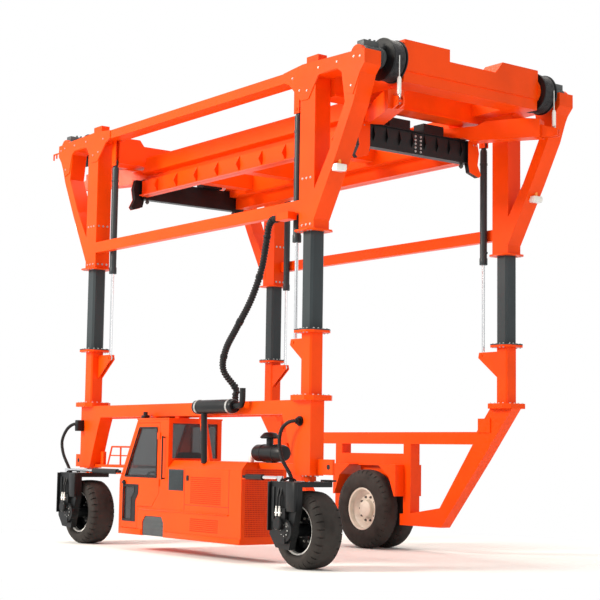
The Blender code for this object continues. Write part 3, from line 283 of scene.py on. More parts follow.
def smoothRoute(route, count):
    points = [Vector(point) for point in route]
    ends = [2 * points[0] - points[1]] + points + [2 * points[-1] - points[-2]]
    result = []
    for step in range(count + 1):
        place = step / count * (len(points) - 1)
        index = min(int(place), len(points) - 2)
        t = place - index
        p0, p1, p2, p3 = ends[index:index + 4]
        result.append(0.5 * (2 * p1 + (p2 - p0) * t + (2 * p0 - 5 * p1 + 4 * p2 - p3) * t * t
                             + (3 * p1 - p0 - 3 * p2 + p3) * t ** 3))
    return result


def corrugatedTube(bm, route, radius, pitch, depth, sides=20):
    # rings carried along the route without twist, their radius rising and falling once a pitch
    length = sum((b - a).length for a, b in zip(route, route[1:]))
    count = int(length / pitch) * 4
    marks, walked = [0.0], 0.0
    for a, b in zip(route, route[1:]):
        walked += (b - a).length
        marks.append(walked)
    centres, place = [], 0
    for step in range(count + 1):
        want = length * step / count
        while place < len(route) - 2 and marks[place + 1] < want:
            place += 1
        part = (want - marks[place]) / max(marks[place + 1] - marks[place], 1e-9)
        centres.append(route[place].lerp(route[place + 1], min(part, 1.0)))
    normal = (centres[1] - centres[0]).orthogonal().normalized()
    rings = []
    for step, centre in enumerate(centres):
        way = (centres[min(step + 1, count)] - centres[max(step - 1, 0)]).normalized()
        normal = (normal - way * normal.dot(way)).normalized()
        across = way.cross(normal)
        size = radius if step % 4 in (1, 2) or step in (0, count) else radius - depth
        rings.append([bm.verts.new(centre + (normal * math.cos(a) + across * math.sin(a)) * size)
                      for a in [math.tau * k / sides for k in range(sides)]])
    for first, second in zip(rings, rings[1:]):
        for k in range(sides):
            bm.faces.new((first[k], first[(k + 1) % sides], second[(k + 1) % sides], second[k]))
    bm.faces.new(list(reversed(rings[0])))
    bm.faces.new(rings[-1])
    return length


def makePiece(name, bm, finish, body, smoothAngle=35, bevel=0.0, replaced=()):
    bmesh.ops.recalc_face_normals(bm, faces=bm.faces)
    mesh = bpy.data.meshes.new(name)
    bm.to_mesh(mesh)
    bm.free()
    mesh.materials.append(finishes[finish])
    piece = bpy.data.objects.new(name, mesh)
    bpy.context.scene.collection.objects.link(piece)
    if bevel > 0:
        edge = piece.modifiers.new("edge", "BEVEL")
        edge.width = bevel
        edge.segments = 2
        edge.limit_method = "ANGLE"
    mesh.shade_smooth()
    mesh.set_sharp_from_angle(angle=math.radians(smoothAngle))
    if replaced:
        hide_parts(*replaced)
    if body:
        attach(piece, body)
    return piece


# ---------- tyres and rims

nearTyre = {"radius": wheelZ, "rim": 0.325, "width": 0.44, "lugs": 30, "lugHeight": 0.028, "notch": 0.10}
nearRim = {"rim": 0.3245, "bore": 0.094, "nutRing": 0.155, "nuts": 10}


def makeLuggedTyre(name, centre, settings, body, replaced):
    # a smooth crown with short shoulder lugs, both edges set half a pitch apart
    radius, rim, half = settings["radius"], settings["rim"], settings["width"] / 2
    low, notch = radius - settings["lugHeight"], settings["notch"]
    inner = half - notch
    bm = bmesh.new()
    side = [(rim, half - 0.035), (rim + 0.02, half - 0.012), (rim + 0.07, half), (low - 0.09, half),
            (low - 0.045, half - 0.012), (low - 0.012, half - 0.045), (low, inner + 0.02),
            (radius - 0.006, inner), (radius, inner * 0.35)]
    addTurned(bm, [(r, -across) for r, across in side] + side[::-1], centre, "y", 96)
    length = math.tau * radius / settings["lugs"] * 0.40
    outline = [(inner - 0.01, radius - 0.008), (half - 0.052, radius - 0.014),
               (half - 0.018, radius - 0.045), (half - 0.003, radius - 0.105),
               (half - 0.03, radius - 0.115), (inner - 0.01, low - 0.02)]
    for index in range(settings["lugs"]):
        for side in (-1, 1):
            angle = math.tau * (index + 0.25 * side) / settings["lugs"]
            face = bm.faces.new([bm.verts.new((-length, side * across, up)) for across, up in outline])
            moved = thicken(bm, [face], (2 * length, 0, 0))
            spin = Matrix.Translation(centre) @ Matrix.Rotation(angle, 4, "Y")
            bmesh.ops.transform(bm, matrix=spin, verts=moved + list(face.verts))
    makePiece(name, bm, "rubber", body, 40, replaced=replaced)


def makeNearRim(name, centre, body, replaced):
    x, y, z = centre
    rim, half, bore = nearRim["rim"], nearTyre["width"] / 2, nearRim["bore"]
    bm = bmesh.new()
    lip = [(rim - 0.022, half - 0.06), (rim - 0.018, half - 0.038), (rim + 0.008, half - 0.030),
           (rim + 0.008, half - 0.036), (rim, half - 0.040)]
    addTurned(bm, lip + [(r, -across) for r, across in lip[::-1]], centre, "y", 96)
    makePiece(name, bm, "warningWhite", body, 40, replaced=replaced)
    bm = bmesh.new()
    # the web is black as painted shade for the deep shadow inside the rim, partly also standing for the black
    # wheel motor behind it
    web = [(bore, -0.02), (bore, 0.02), (0.20, 0.02), (0.27, 0.045), (rim - 0.05, 0.10), (rim - 0.0225, 0.13),
           (rim - 0.0225, -0.13), (rim - 0.05, -0.10), (0.27, -0.02), (0.20, -0.02)]
    addTurned(bm, web, centre, "y", 72)
    makePiece(name + "_web", bm, "blackPaint", body, 40)
    bm = bmesh.new()
    for way in (1, -1):
        ring = ringPlaces((x, y + way * 0.02, z), nearRim["nutRing"], nearRim["nuts"], "y")
        addBolts(bm, ring, (0, way, 0), 0.014, 0.022)
    cap = [(0, 0.02), (0.088, 0.02), (0.085, 0.05), (0.06, 0.07), (0, 0.072)]
    addTurned(bm, cap, (x, y + 0.02, z), "y", 40)
    makePiece(name + "_nuts", bm, "steelBolt", body)


for end in ("front", "rear"):
    centre = middle("tyre_" + end)
    makeLuggedTyre("tread_tyre_" + end, centre, nearTyre, "wheel_" + end, ("tyre_" + end,))
    makeNearRim("wheel_disc_" + end, centre, "wheel_" + end, ("rim_" + end,))

twinZ = middle("twin_tyre_inner").z
twinTyre = {"radius": twinZ, "rim": 0.343, "width": 0.31, "lugs": 36, "lugHeight": 0.024, "notch": 0.075}
for label in ("inner", "outer"):
    name = "twin_tyre_" + label
    makeLuggedTyre("tread_twin_" + label, middle(name), twinTyre, "twin_wheel", (name,))

twinHub = {"rim": 0.3425, "spacer": (1.76, 1.90), "nutRing": 0.195, "nuts": 10}


def makeTwinHub():
    low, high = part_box("twin_wheel_hub")
    rim, inner, outer = twinHub["rim"], low.y, high.y
    # one disc's section from the axle out to the rim's edge: radius, depth below the edge
    disc = [(0, 0.05), (0.10, 0.05), (0.13, 0.07), (0.15, 0.14), (0.24, 0.15), (0.27, 0.11),
            (rim - 0.03, 0.09), (rim - 0.028, 0.01), (rim - 0.008, 0), (rim, 0.006)]
    near, far = twinHub["spacer"]
    profile = [(r, inner + deep) for r, deep in disc]
    profile += [(rim, near), (rim - 0.03, near), (rim - 0.03, inner + 0.17), (0.10, inner + 0.17),
                (0.10, outer - 0.17), (rim - 0.03, outer - 0.17), (rim - 0.03, far), (rim, far)]
    profile += [(r, outer - deep) for r, deep in disc[::-1]]
    bm = bmesh.new()
    addTurned(bm, profile, (0, 0, twinZ), "y", 72)
    makePiece("twin_wheel_discs", bm, "rimCream", "twin_wheel", 40, replaced=("twin_wheel_hub",))
    bm = bmesh.new()
    for y, way in ((inner + 0.15, -1), (outer - 0.15, 1)):
        nutRing = ringPlaces((0, y, twinZ), twinHub["nutRing"], twinHub["nuts"], "y")
        addBolts(bm, nutRing, (0, way, 0), 0.016, 0.03)
    makePiece("twin_wheel_nuts", bm, "castIron", "twin_wheel")


makeTwinHub()
print("wheels ready")

# ---------- legs, masts and lift cylinders


# flanges: half their width and the height of their bolted face
flangeBolts = {"topFaces": ((0.205, 2.30), (0.178, 3.188)), "lowFaces": ((0.205, 2.24), (0.178, 3.14)),
               "radius": 0.011, "spread": 0.42, "pinRing": 0.105, "pinFace": 1.232}


def makeFlangeBolts():
    bm = bmesh.new()
    radius = flangeBolts["radius"]
    spread = [(step - 1.5) * flangeBolts["spread"] for step in range(4)]
    for label, sx, sy in corners:
        x, y = sx * legX, sy * legY
        for half, z in flangeBolts["topFaces"]:
            for side in (-1, 1):
                for share in spread:
                    along = share * half
                    spots = [(x + along, y + side * half, z), (x + side * half, y + along, z)]
                    addBolts(bm, spots, (0, 0, 1), radius)
        for half, z in flangeBolts["lowFaces"]:
            for side in (-1, 1):
                if z < 3 and side * sy < 0:
                    continue  # the side beam is in the way there
                for share in spread:
                    addBolts(bm, [(x + share * half, y + side * half, z)], (0, 0, -1), radius)
    for sx in (-1, 1):
        ring = ringPlaces((sx * legX, -legY, flangeBolts["pinFace"]), flangeBolts["pinRing"], 10, "z")
        addBolts(bm, ring, (0, 0, -1), 0.012)
    makePiece("flange_bolts", bm, "steelBolt", "chassis")


makeFlangeBolts()


liftCylinder = {
    # radius, height: up the outside of the barrel and down its bore
    "barrel": [(0.0262, 4.42), (0.060, 4.42), (0.062, 4.425), (0.062, 4.515), (0.058, 4.53), (0.0545, 4.53),
               (0.0545, 5.96), (0.060, 5.965), (0.060, 5.995), (0.0545, 6.0), (0.0545, 6.17), (0.05, 6.20),
               (0, 6.20), (0, 6.16), (0.042, 6.16), (0.042, 4.52), (0.0262, 4.50)],
    "eyeTop": 6.29, "eyeFoot": 3.03, "eyeRadius": 0.0445, "rodRadius": 0.0249, "rodFrom": 3.06, "rodTo": 4.85,
}


def makeLiftCylinders():
    top, foot, eye = liftCylinder["eyeTop"], liftCylinder["eyeFoot"], liftCylinder["eyeRadius"]
    for label, sx, sy in corners:
        x, y = sx * liftX, sy * liftY
        bm = bmesh.new()
        addTurned(bm, liftCylinder["barrel"], (x, y, 0), "z", 40)
        addBox(bm, (x - 0.035, y - 0.0215, 6.18), (x + 0.035, y + 0.0215, top))
        addRod(bm, (x, y - 0.022, top), (x, y + 0.022, top), eye, 28)
        addRod(bm, (x + sx * 0.05, y, 4.60), (x + sx * 0.08, y, 4.60), 0.016, 12)
        makePiece("lift_cylinder_" + label, bm, "slatePaint", "upper_frame", 40,
                  replaced=("lift_barrel_" + label,))
        bm = bmesh.new()
        low, high = liftCylinder["rodFrom"], liftCylinder["rodTo"]
        addRod(bm, (x, y, low), (x, y, high), liftCylinder["rodRadius"], 36)
        ring = [(0.0208, -0.0215), (0.044, -0.0215), (0.044, 0.0215), (0.0208, 0.0215)]
        addTurned(bm, ring, (x, y, foot), "y", 32)
        makePiece("lift_shaft_" + label, bm, "chrome", "chassis", 40, replaced=("lift_rod_" + label,))


makeLiftCylinders()
print("legs ready")

# ---------- upper frame: bolts, motors, drums, ropes, lamps

upperBolts = {
    "sleeveRows": (4.60, 5.24), "sleeveFace": 1.97, "gussetFace": 1.982, "flangeFace": 1.995,
    "gussetSpots": [(2.62, 6.68), (2.78, 6.48), (2.95, 6.45), (3.20, 6.72), (3.60, 6.72), (3.95, 6.72),
                    (3.90, 6.34), (4.08, 6.70)],  # x, z
}


def makeUpperBolts():
    bm = bmesh.new()
    for label, sx, sy in corners:
        x = sx * legX
        face = sy * upperBolts["sleeveFace"]
        for z in upperBolts["sleeveRows"]:
            addBolts(bm, [(x + step * 0.09, face, z) for step in (-1, 0, 1)], (0, sy, 0), 0.013)
            inward = [(x - sx * 0.164, sy * (legY + step * 0.08), z) for step in (-1, 0, 1)]
            addBolts(bm, inward, (-sx, 0, 0), 0.013)
        face = sy * upperBolts["gussetFace"]
        addBolts(bm, [(sx * a, face, b) for a, b in upperBolts["gussetSpots"]], (0, sy, 0), 0.012)
        for offset in (-0.14, -0.07, 0.07, 0.14):
            addBolts(bm, [(x + offset, sy * upperBolts["flangeFace"], 4.515)], (0, 0, -1), 0.011)
        addBolts(bm, ringPlaces((sx * drumX, sy * 1.299, drumZ), 0.17, 10, "y"), (0, sy, 0), 0.010, 0.005)
    makePiece("upper_bolts", bm, "steelBolt", "upper_frame")


drumMotor = {"from": 1.60, "ribsTo": 1.88, "ribPitch": 0.024, "radius": 0.133, "ribRadius": 0.142}


def makeDrumMotors():
    radius, rib = drumMotor["radius"], drumMotor["ribRadius"]
    profile = [(0.052, 1.558), (0.135, 1.558), (0.135, 1.60)]
    way = drumMotor["from"]
    while way < drumMotor["ribsTo"]:
        profile += [(rib, way + 0.004), (rib, way + 0.012), (radius, way + 0.016), (radius, way + 0.024)]
        way += drumMotor["ribPitch"]
    profile += [(0.12, 1.93), (0.06, 1.945), (0, 1.945), (0, 1.63), (0.052, 1.63)]
    for label, sx, sy in corners:
        x = sx * drumX
        bm = bmesh.new()
        addTurned(bm, [(r, sy * place) for r, place in profile], (x, 0, drumZ), "y", 48)
        low, high = sorted((sy * 1.64, sy * 1.90))
        addBox(bm, (x - 0.07, low, drumZ + 0.10), (x + 0.07, high, drumZ + 0.20), 0.008)
        for y in (1.66, 1.74):  # cable glands on the terminal box
            addRod(bm, (x, sy * y, drumZ + 0.20), (x, sy * y, drumZ + 0.235), 0.018, 12)
        makePiece("drum_motor_" + label, bm, "motorGrey", "upper_frame", 35)


drumSettings = {
    # radius, place along the axle: hub, inner flange, barrel, outer flange, hub
    "section": [(0, 1.205), (0.0498, 1.205), (0.0498, 1.306), (0.284, 1.306), (0.289, 1.311), (0.289, 1.325),
                (0.262, 1.335), (0.256, 1.335), (0.256, 1.515), (0.262, 1.515), (0.289, 1.527),
                (0.289, 1.539), (0.284, 1.544), (0.06, 1.544), (0.0498, 1.55), (0.0498, 1.598), (0, 1.598)],
    "bosses": 6, "bossRing": 0.16, "turns": 8, "pitch": 0.022, "ropeRadius": 0.0105, "ropeRing": 0.266,
}


def makeDrums():
    ring, rope, bossFace = drumSettings["bossRing"], drumSettings["ropeRadius"], 1.544
    for label, sx, sy in corners:
        x = sx * drumX
        bm = bmesh.new()
        addTurned(bm, [(r, sy * place) for r, place in drumSettings["section"]], (x, 0, drumZ), "y", 64)
        for spot in ringPlaces((x, sy * bossFace, drumZ), ring, drumSettings["bosses"], "y"):
            addRod(bm, spot, spot + Vector((0, sy * 0.005, 0)), 0.03, 16)
        makePiece("drum_" + label, bm, "blackPaint", "drum_" + label, 35, replaced=("rope_drum_" + label,))
        bm = bmesh.new()
        for turn in range(drumSettings["turns"]):
            place = 1.347 + turn * drumSettings["pitch"]
            loop = [(drumSettings["ropeRing"] + rope * math.cos(a), sy * (place + rope * math.sin(a)))
                    for a in [math.tau * k / 8 for k in range(8)]]
            addTurned(bm, loop, (x, 0, drumZ), "y", 56)
        makePiece("wound_rope_" + label, bm, "woundRope", "drum_" + label, 60)


hoistRope = {"x": 4.272, "y": 1.47, "top": 6.755, "run": 0.021, "runs": 24, "radius": 0.0095}


def makeHoistRopes():
    # straight ropes, each a stack of short runs down from the top
    for label, sx, sy in corners:
        x, y = sx * hoistRope["x"], sy * hoistRope["y"]
        bm = bmesh.new()
        for index in range(hoistRope["runs"]):
            top = hoistRope["top"] - index * hoistRope["run"]
            low = hoistRope["top"] - (index + 1) * hoistRope["run"]
            addRod(bm, (x, y, low), (x, y, top), hoistRope["radius"], 10)
        piece = makePiece("hoist_rope_" + label, bm, "steelBolt", None, 60)
        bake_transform(piece)
        bm = bmesh.new()
        socket = [(0, 6.235), (0.024, 6.235), (0.028, 6.26), (0.028, 6.44), (0.018, 6.47), (0, 6.47)]
        addTurned(bm, socket, (x, y, 0), "z", 24)
        makePiece("rope_socket_" + label, bm, "warningWhite", "spreader", 40)
        bm = bmesh.new()
        addBox(bm, (x - 0.026, y - 0.012, 6.10), (x + 0.026, y + 0.012, 6.24), 0.004)
        addRod(bm, (x, y - 0.03, 6.14), (x, y + 0.03, 6.14), 0.022, 20)
        makePiece("rope_link_" + label, bm, "steelBolt", "spreader", 40)


workLamp = {"x": 3.53, "y": 1.87, "z": 5.28, "halfLength": 0.09, "halfWidth": 0.06}


def makeWorkLamps():
    housing, lens, amber = bmesh.new(), bmesh.new(), bmesh.new()
    long, wide, z = workLamp["halfLength"], workLamp["halfWidth"], workLamp["z"]
    for sx, sy in ((1, -1), (-1, -1), (1, 1), (-1, 1)):
        x, y = sx * workLamp["x"], sy * workLamp["y"]
        addBox(housing, (x - wide, y - long, z), (x + wide, y + long, z + 0.08), 0.014)
        addBox(lens, (x - wide + 0.01, y - long + 0.01, z - 0.014),
               (x + wide - 0.01, y + long - 0.01, z + 0.002), 0.004)
        addRod(amber, (x, y, z + 0.08), (x, y, z + 0.14), 0.032, 24, 0.026)
        # bracket back to the brace
        addBox(housing, (x - sx * 0.06 - 0.02, y - 0.012, z + 0.01), (x + 0.02, y + 0.012, z + 0.035))
    makePiece("lamp_housings", housing, "warningWhite", "upper_frame")
    makePiece("lamp_lenses", lens, "lampLens", "upper_frame")
    makePiece("lamp_beacons", amber, "amberLens", "upper_frame")


makeUpperBolts()
makeDrumMotors()
makeDrums()
makeHoistRopes()
makeWorkLamps()
print("upper frame ready")

# ---------- spreader details


spreaderSettings = {
    "gussets": 9, "gussetPitch": 0.6, "sideFace": 1.04,
    "stiffeners": 8, "stiffenerPitch": 0.24, "endFace": 3.0,
    "lock": (2.95, 0.9), "guideFace": 3.052,
    "guide": [(0.945, 6.145), (1.125, 6.145), (1.165, 5.98), (1.135, 5.80), (1.205, 5.66), (1.165, 5.615),
              (0.975, 5.675), (0.945, 5.80)],  # y, z
}


def makeSpreaderDetails():
    side, end = spreaderSettings["sideFace"], spreaderSettings["endFace"]
    bm = bmesh.new()
    for sy in (-1, 1):
        face = sy * side
        for index in range(spreaderSettings["gussets"]):
            x = -2.4 + index * spreaderSettings["gussetPitch"]
            addPlate(bm, [(x, face, 6.12), (x, face + sy * 0.075, 5.98), (x, face, 5.86)], (0.016, 0, 0))
        low, high = sorted((face - sy * 0.01, face + sy * 0.085))
        addBox(bm, (-2.85, low, 5.85), (2.85, high, 5.862))
    makePiece("spreader_gussets", bm, "orangePaint", "spreader", 30)
    bm = bmesh.new()
    for sx in (-1, 1):
        face = sx * end
        for index in range(spreaderSettings["stiffeners"]):
            y = -0.84 + index * spreaderSettings["stiffenerPitch"]
            addPlate(bm, [(face, y, 6.13), (face + sx * 0.045, y, 5.98), (face, y, 5.90)], (0, 0.012, 0))
        low, high = sorted((face - sx * 0.01, face + sx * 0.035))
        addBox(bm, (low, -1.0, 5.81), (high, 1.0, 5.825))
        addBox(bm, (low, -1.0, 6.137), (high, 1.0, 6.15))
    makePiece("end_beam_stiffeners", bm, "blackPaint", "spreader", 30)
    bm = bmesh.new()
    for sx in (-1, 1):
        for y in (-0.05, 0.05):
            addBolts(bm, [(sx * end, y, 5.86 + step * 0.055) for step in range(5)], (sx, 0, 0), 0.013, 0.016)
        for y in (-1.08, 1.08):
            addBolts(bm, [(sx * 3.05, y + side, 6.09) for side in (-0.03, 0.03)], (sx, 0, 0), 0.012, 0.012)
    makePiece("end_beam_bolts", bm, "steelBolt", "spreader")
    bm = bmesh.new()
    lock = [(0, 5.74), (0.012, 5.74), (0.034, 5.765), (0.034, 5.785), (0.024, 5.79), (0.024, 5.812),
            (0, 5.812)]
    for label, sx, sy in corners:
        addTurned(bm, lock, (sx * spreaderSettings["lock"][0], sy * spreaderSettings["lock"][1], 0), "z", 20)
    makePiece("twistlocks", bm, "castIron", "spreader")
    # orange corner guides over the black ends
    bm = bmesh.new()
    for label, sx, sy in corners:
        outline = [(sx * spreaderSettings["guideFace"], sy * y, z) for y, z in spreaderSettings["guide"]]
        addPlate(bm, outline, (sx * 0.008, 0, 0))
    makePiece("guide_faces", bm, "orangePaint", "spreader", 30, 0.003)


makeSpreaderDetails()
print("spreader ready")

# ---------- cab, hood and the side frame's fittings


cabSettings = {
    # outlines on the door's and the cab's near face: x, z
    "window": [(-1.335, 1.13), (-0.93, 1.875), (-0.42, 1.875), (-0.42, 1.13)],
    "lowPane": [(-1.38, 0.47), (-1.38, 0.98), (-1.04, 0.98), (-1.04, 0.90), (-1.13, 0.80), (-1.13, 0.47)],
    "gasketOuter": [(-1.395, 0.445), (-1.395, 1.012), (-0.93, 1.012), (-0.93, 0.875), (-1.01, 0.77),
                    (-1.01, 0.445)],
    "gasketInner": [(-1.365, 0.48), (-1.365, 0.97), (-1.05, 0.97), (-1.05, 0.905), (-1.14, 0.805),
                    (-1.14, 0.48)],
    "step": [(-0.795, 0.255), (-0.795, 0.47), (-0.735, 0.545), (-0.265, 0.545), (-0.205, 0.47),
             (-0.205, 0.255)],
    "windowSeal": 0.012, "lowSeal": 0.010, "roof": 2.02, "grabBar": (-0.20, 1.10, 1.75),
}


def makeDoorDetails():
    bm = bmesh.new()
    face = nearFace - 0.002
    for outline, radius in (("window", cabSettings["windowSeal"]), ("lowPane", cabSettings["lowSeal"])):
        rim = [(x, face, z) for x, z in cabSettings[outline]]
        for start, end in zip(rim, rim[1:] + rim[:1]):
            addRod(bm, start, end, radius, 10)
    makePiece("door_seals", bm, "hoseRubber", "door", 60)
    bm = bmesh.new()
    for outline in ("gasketOuter", "gasketInner"):
        rim = [bm.verts.new((x, nearFace - 0.006, z)) for x, z in cabSettings[outline]]
        for start, end in zip(rim, rim[1:] + rim[:1]):
            bm.edges.new((start, end))
    made = bmesh.ops.bridge_loops(bm, edges=list(bm.edges))
    thicken(bm, made["faces"], (0, 0.0059, 0))
    makePiece("low_pane_gasket", bm, "hoseRubber", "door", 30)


def makeCabDetails():
    makeDoorDetails()
    bm = bmesh.new()
    addPlate(bm, [(x, nearFace + 0.012, z) for x, z in cabSettings["step"]], (0, 0.03, 0))
    for row in range(4):
        z = 0.28 + row * 0.06
        addBox(bm, (-0.76, nearFace + 0.004, z), (-0.24, nearFace + 0.013, z + 0.015))
    makePiece("step_plate", bm, "motorGrey", "chassis", 30)
    bm = bmesh.new()
    x, low, high = cabSettings["grabBar"]
    bar = nearFace - 0.045
    addRod(bm, (x, bar, low), (x, bar, high), 0.012, 14)
    for z in (low + 0.02, high - 0.02):
        addRod(bm, (x, bar, z), (x, nearFace, z), 0.009, 12)
    makePiece("grab_bar", bm, "blackPaint", "chassis", 40)
    bm = bmesh.new()
    addPlate(bm, [(x, nearFace + 0.02, z) for x, z in cabSettings["lowPane"]], (0, 0.006, 0))
    makePiece("door_low_pane", bm, "smokedGlass", "door", 30)
    bm = bmesh.new()
    addBox(bm, (-1.41, nearFace - 0.022, 1.02), (-1.30, nearFace - 0.008, 1.05), 0.004)
    addBox(bm, (-1.36, nearFace - 0.030, 1.0), (-1.33, nearFace, 1.07), 0.004)
    makePiece("door_latch", bm, "blackPaint", "door")
    bm = bmesh.new()
    addBox(bm, (-0.90, -1.235, 1.15), (-0.20, -1.229, 1.90))
    makePiece("inner_side_pane", bm, "glass", "chassis")
    bm = bmesh.new()
    roof = cabSettings["roof"]
    for y0, y1 in ((nearFace - 0.012, nearFace + 0.01), (-1.21, -1.19)):
        addBox(bm, (-1.0, y0, roof - 0.025), (-0.09, y1, roof), 0.004)
    makePiece("roof_gutters", bm, "orangePaint", "chassis")
    bm = bmesh.new()
    addBox(bm, (-0.96, -2.12, roof + 0.0005), (-0.86, -2.02, roof + 0.05), 0.01)
    addRod(bm, (-0.91, -2.07, roof + 0.04), (-0.91, -2.07, roof + 0.10), 0.035, 20)
    makePiece("roof_lamp", bm, "blackPaint", "chassis")
    bm = bmesh.new()
    addBox(bm, (-0.87, nearFace - 0.016, 0.635), (1.50, nearFace, 0.655), 0.004)
    addBox(bm, (-1.48, nearFace - 0.014, 0.25), (-0.82, nearFace, 0.34), 0.004)
    addBox(bm, (-0.18, nearFace - 0.014, 0.25), (1.795, nearFace, 0.33), 0.004)
    makePiece("skirt_strips", bm, "orangePaint", "chassis")


hoodSettings = {
    "grille": (-0.07, 0.33, 0.95, 1.26), "louvres": 14, "louvrePitch": 0.0205,
    "sidePanels": ((0.52, 1.33, 0.78, 1.20), (0.52, 1.25, 0.38, 0.58)), "sidePitch": 0.028,  # x, x, z, z
    "endColumns": 24, "endRows": 34, "endPitch": 0.0275, "hole": 0.015, "door": (0.36, 1.50, 0.67, 1.28),
}


def makeHoodDetails():
    near, hole = nearFace, hoodSettings["hole"]
    bm = bmesh.new()
    x0, x1, z0, z1 = hoodSettings["grille"]
    addBox(bm, (x0, near - 0.006, z0), (x1, near, z1), 0.002)
    for index in range(hoodSettings["louvres"]):
        z = z0 + 0.015 + index * hoodSettings["louvrePitch"]
        addBox(bm, (x0 + 0.015, near - 0.014, z), (x1 - 0.015, near - 0.004, z + 0.009))
    makePiece("side_grille", bm, "slatePaint", "chassis", 30)
    # perforated panels of the side door, the low side and the end, their holes drawn as small squares in a
    # darker orange as painted shade
    bm = bmesh.new()
    pitch = hoodSettings["sidePitch"]
    for x0, x1, z0, z1 in hoodSettings["sidePanels"]:
        for column in range(int((x1 - x0) / pitch)):
            for row in range(int((z1 - z0) / pitch)):
                x, z = x0 + column * pitch, z0 + row * pitch
                addBox(bm, (x, near - 0.003, z), (x + hole, near, z + hole))
    makePiece("side_mesh", bm, "paintedShadeOrange", "chassis", 30)
    bm = bmesh.new()
    pitch = hoodSettings["endPitch"]
    for column in range(hoodSettings["endColumns"]):
        for row in range(hoodSettings["endRows"]):
            y, z = -2.08 + column * pitch, 0.36 + row * pitch
            addBox(bm, (1.80, y, z), (1.803, y + hole, z + hole))
    makePiece("end_mesh", bm, "paintedShadeOrange", "chassis", 30)
    bm = bmesh.new()
    x0, x1, z0, z1 = hoodSettings["door"]
    for x in (x0, x1):
        addBox(bm, (x - 0.003, near - 0.002, z0), (x + 0.003, near, z1))
    addBox(bm, (x0, near - 0.002, z0 + 0.08), (x1, near, z0 + 0.085))
    addBox(bm, (x0 + 0.05, near - 0.012, 1.10), (x0 + 0.11, near, 1.18), 0.006)  # handle
    makePiece("hood_seams", bm, "blackPaint", "chassis", 30)


deckRail = {"line": -1.84, "deck": 1.29, "top": 1.58, "middle": 1.44, "radius": 0.014}
exhaust = {
    "y": -2.085, "z": 2.17, "radius": 0.1, "middle": 1.025, "pipeRadius": 0.042, "bands": (0.62, 1.42),
    # x, z
    "tailPipe": [(1.50, 2.17), (1.62, 2.17), (1.67, 2.185), (1.695, 2.23), (1.70, 2.30), (1.70, 2.42)],
}
airFilter = {
    "y": -1.81, "z": 1.52, "inlet": 1.99, "ductRadius": 0.04,
    "duct": [(1.67, 1.52), (1.60, 1.51), (1.56, 1.46), (1.55, 1.388)],  # x, z
    "body": [(0, 1.66), (0.07, 1.66), (0.10, 1.68), (0.118, 1.72), (0.118, 1.86), (0.124, 1.865),
             (0.124, 1.885), (0.118, 1.89), (0.118, 2.14), (0.124, 2.145), (0.124, 2.165), (0.118, 2.17),
             (0.118, 2.28), (0.10, 2.34), (0, 2.355)],  # radius, x
    "cap": [(0, 1.72), (0.12, 1.72), (0.138, 1.732), (0.138, 1.745), (0.11, 1.775), (0.085, 1.80),
            (0.05, 1.808), (0, 1.81)],  # radius, z
}


def makeDeckRail():
    rail, line, deck = deckRail["radius"], deckRail["line"], deckRail["deck"]
    bm = bmesh.new()
    for foot, top in ((-2.42, -2.30), (-2.02, -2.02), (-1.62, -1.72)):
        addRod(bm, (foot, line, deck), (top, line, deckRail["top"]), rail, 12)
    addRod(bm, (-2.30, line, deckRail["top"]), (-1.72, line, deckRail["top"]), rail, 12)
    addRod(bm, (-2.36, line, deckRail["middle"]), (-1.67, line, deckRail["middle"]), rail * 0.7, 12)
    addBox(bm, (-2.62, line - 0.02, deck), (-2.54, line + 0.04, deck + 0.21), 0.006)
    makePiece("deck_rail", bm, "orangePaint", "chassis", 40)


def makeExhaust():
    y, z, radius = exhaust["y"], exhaust["z"], exhaust["radius"]
    bm = bmesh.new()
    band = [(radius, -0.02), (radius + 0.006, -0.02), (radius + 0.006, 0.02), (radius, 0.02)]
    for x in exhaust["bands"]:
        addTurned(bm, band, (x, y, z), "x", 40)
    makePiece("muffler_bands", bm, "steelBolt", "chassis", 40)
    bm = bmesh.new()
    drumShell = [(0, -0.50), (0.085, -0.50), (0.099, -0.48), (radius, -0.46), (radius, 0.46), (0.097, 0.475),
                 (0.085, 0.49), (0, 0.49)]
    addTurned(bm, drumShell, (exhaust["middle"], y, z), "x", 48)
    addPipe(bm, [(a, y, b) for a, b in exhaust["tailPipe"]], exhaust["pipeRadius"], 24)
    addRod(bm, (0.765, y, 1.36), (0.735, y, 2.12), 0.045, 24)  # pipe up from the hood
    addBox(bm, (0.96, -2.02, 2.09), (1.04, -1.9703, 2.20))  # bracket to the side beam
    makePiece("exhaust", bm, "blackPaint", "chassis", 40, replaced=("muffler",))


def makeAirFilter():
    y, inlet = airFilter["y"], airFilter["inlet"]
    bm = bmesh.new()
    addTurned(bm, airFilter["body"], (0, y, airFilter["z"]), "x", 48)
    addBox(bm, (1.95, y - 0.04, 1.3855), (2.10, y + 0.04, 1.45))
    addRod(bm, (inlet, y, 1.6), (inlet, y, 1.73), 0.05, 24)
    addTurned(bm, airFilter["cap"], (inlet, y, 0), "z", 40)
    makePiece("air_filter", bm, "blackPaint", "chassis", 40, replaced=("air_cleaner",))
    bm = bmesh.new()
    addPipe(bm, [(a, y, b) for a, b in airFilter["duct"]], airFilter["ductRadius"], 20)
    makePiece("intake_duct", bm, "warningWhite", "chassis", 40)


forkSettings = {
    "outerFace": -2.262, "capRing": 0.075, "capBolts": 8, "kingpinRing": 0.105, "hoseRadius": 0.012,
    "cap": [(0, -2.268), (0.10, -2.268), (0.12, -2.255), (0.135, -2.222), (0, -2.222)],  # radius, y
    "gearbox": [(0, -2.33), (0.07, -2.33), (0.085, -2.315), (0.085, -2.27), (0, -2.27)],
    "hoses": (-0.17, -0.11), "valves": (-0.15, -0.08),  # from the kingpin along x
}


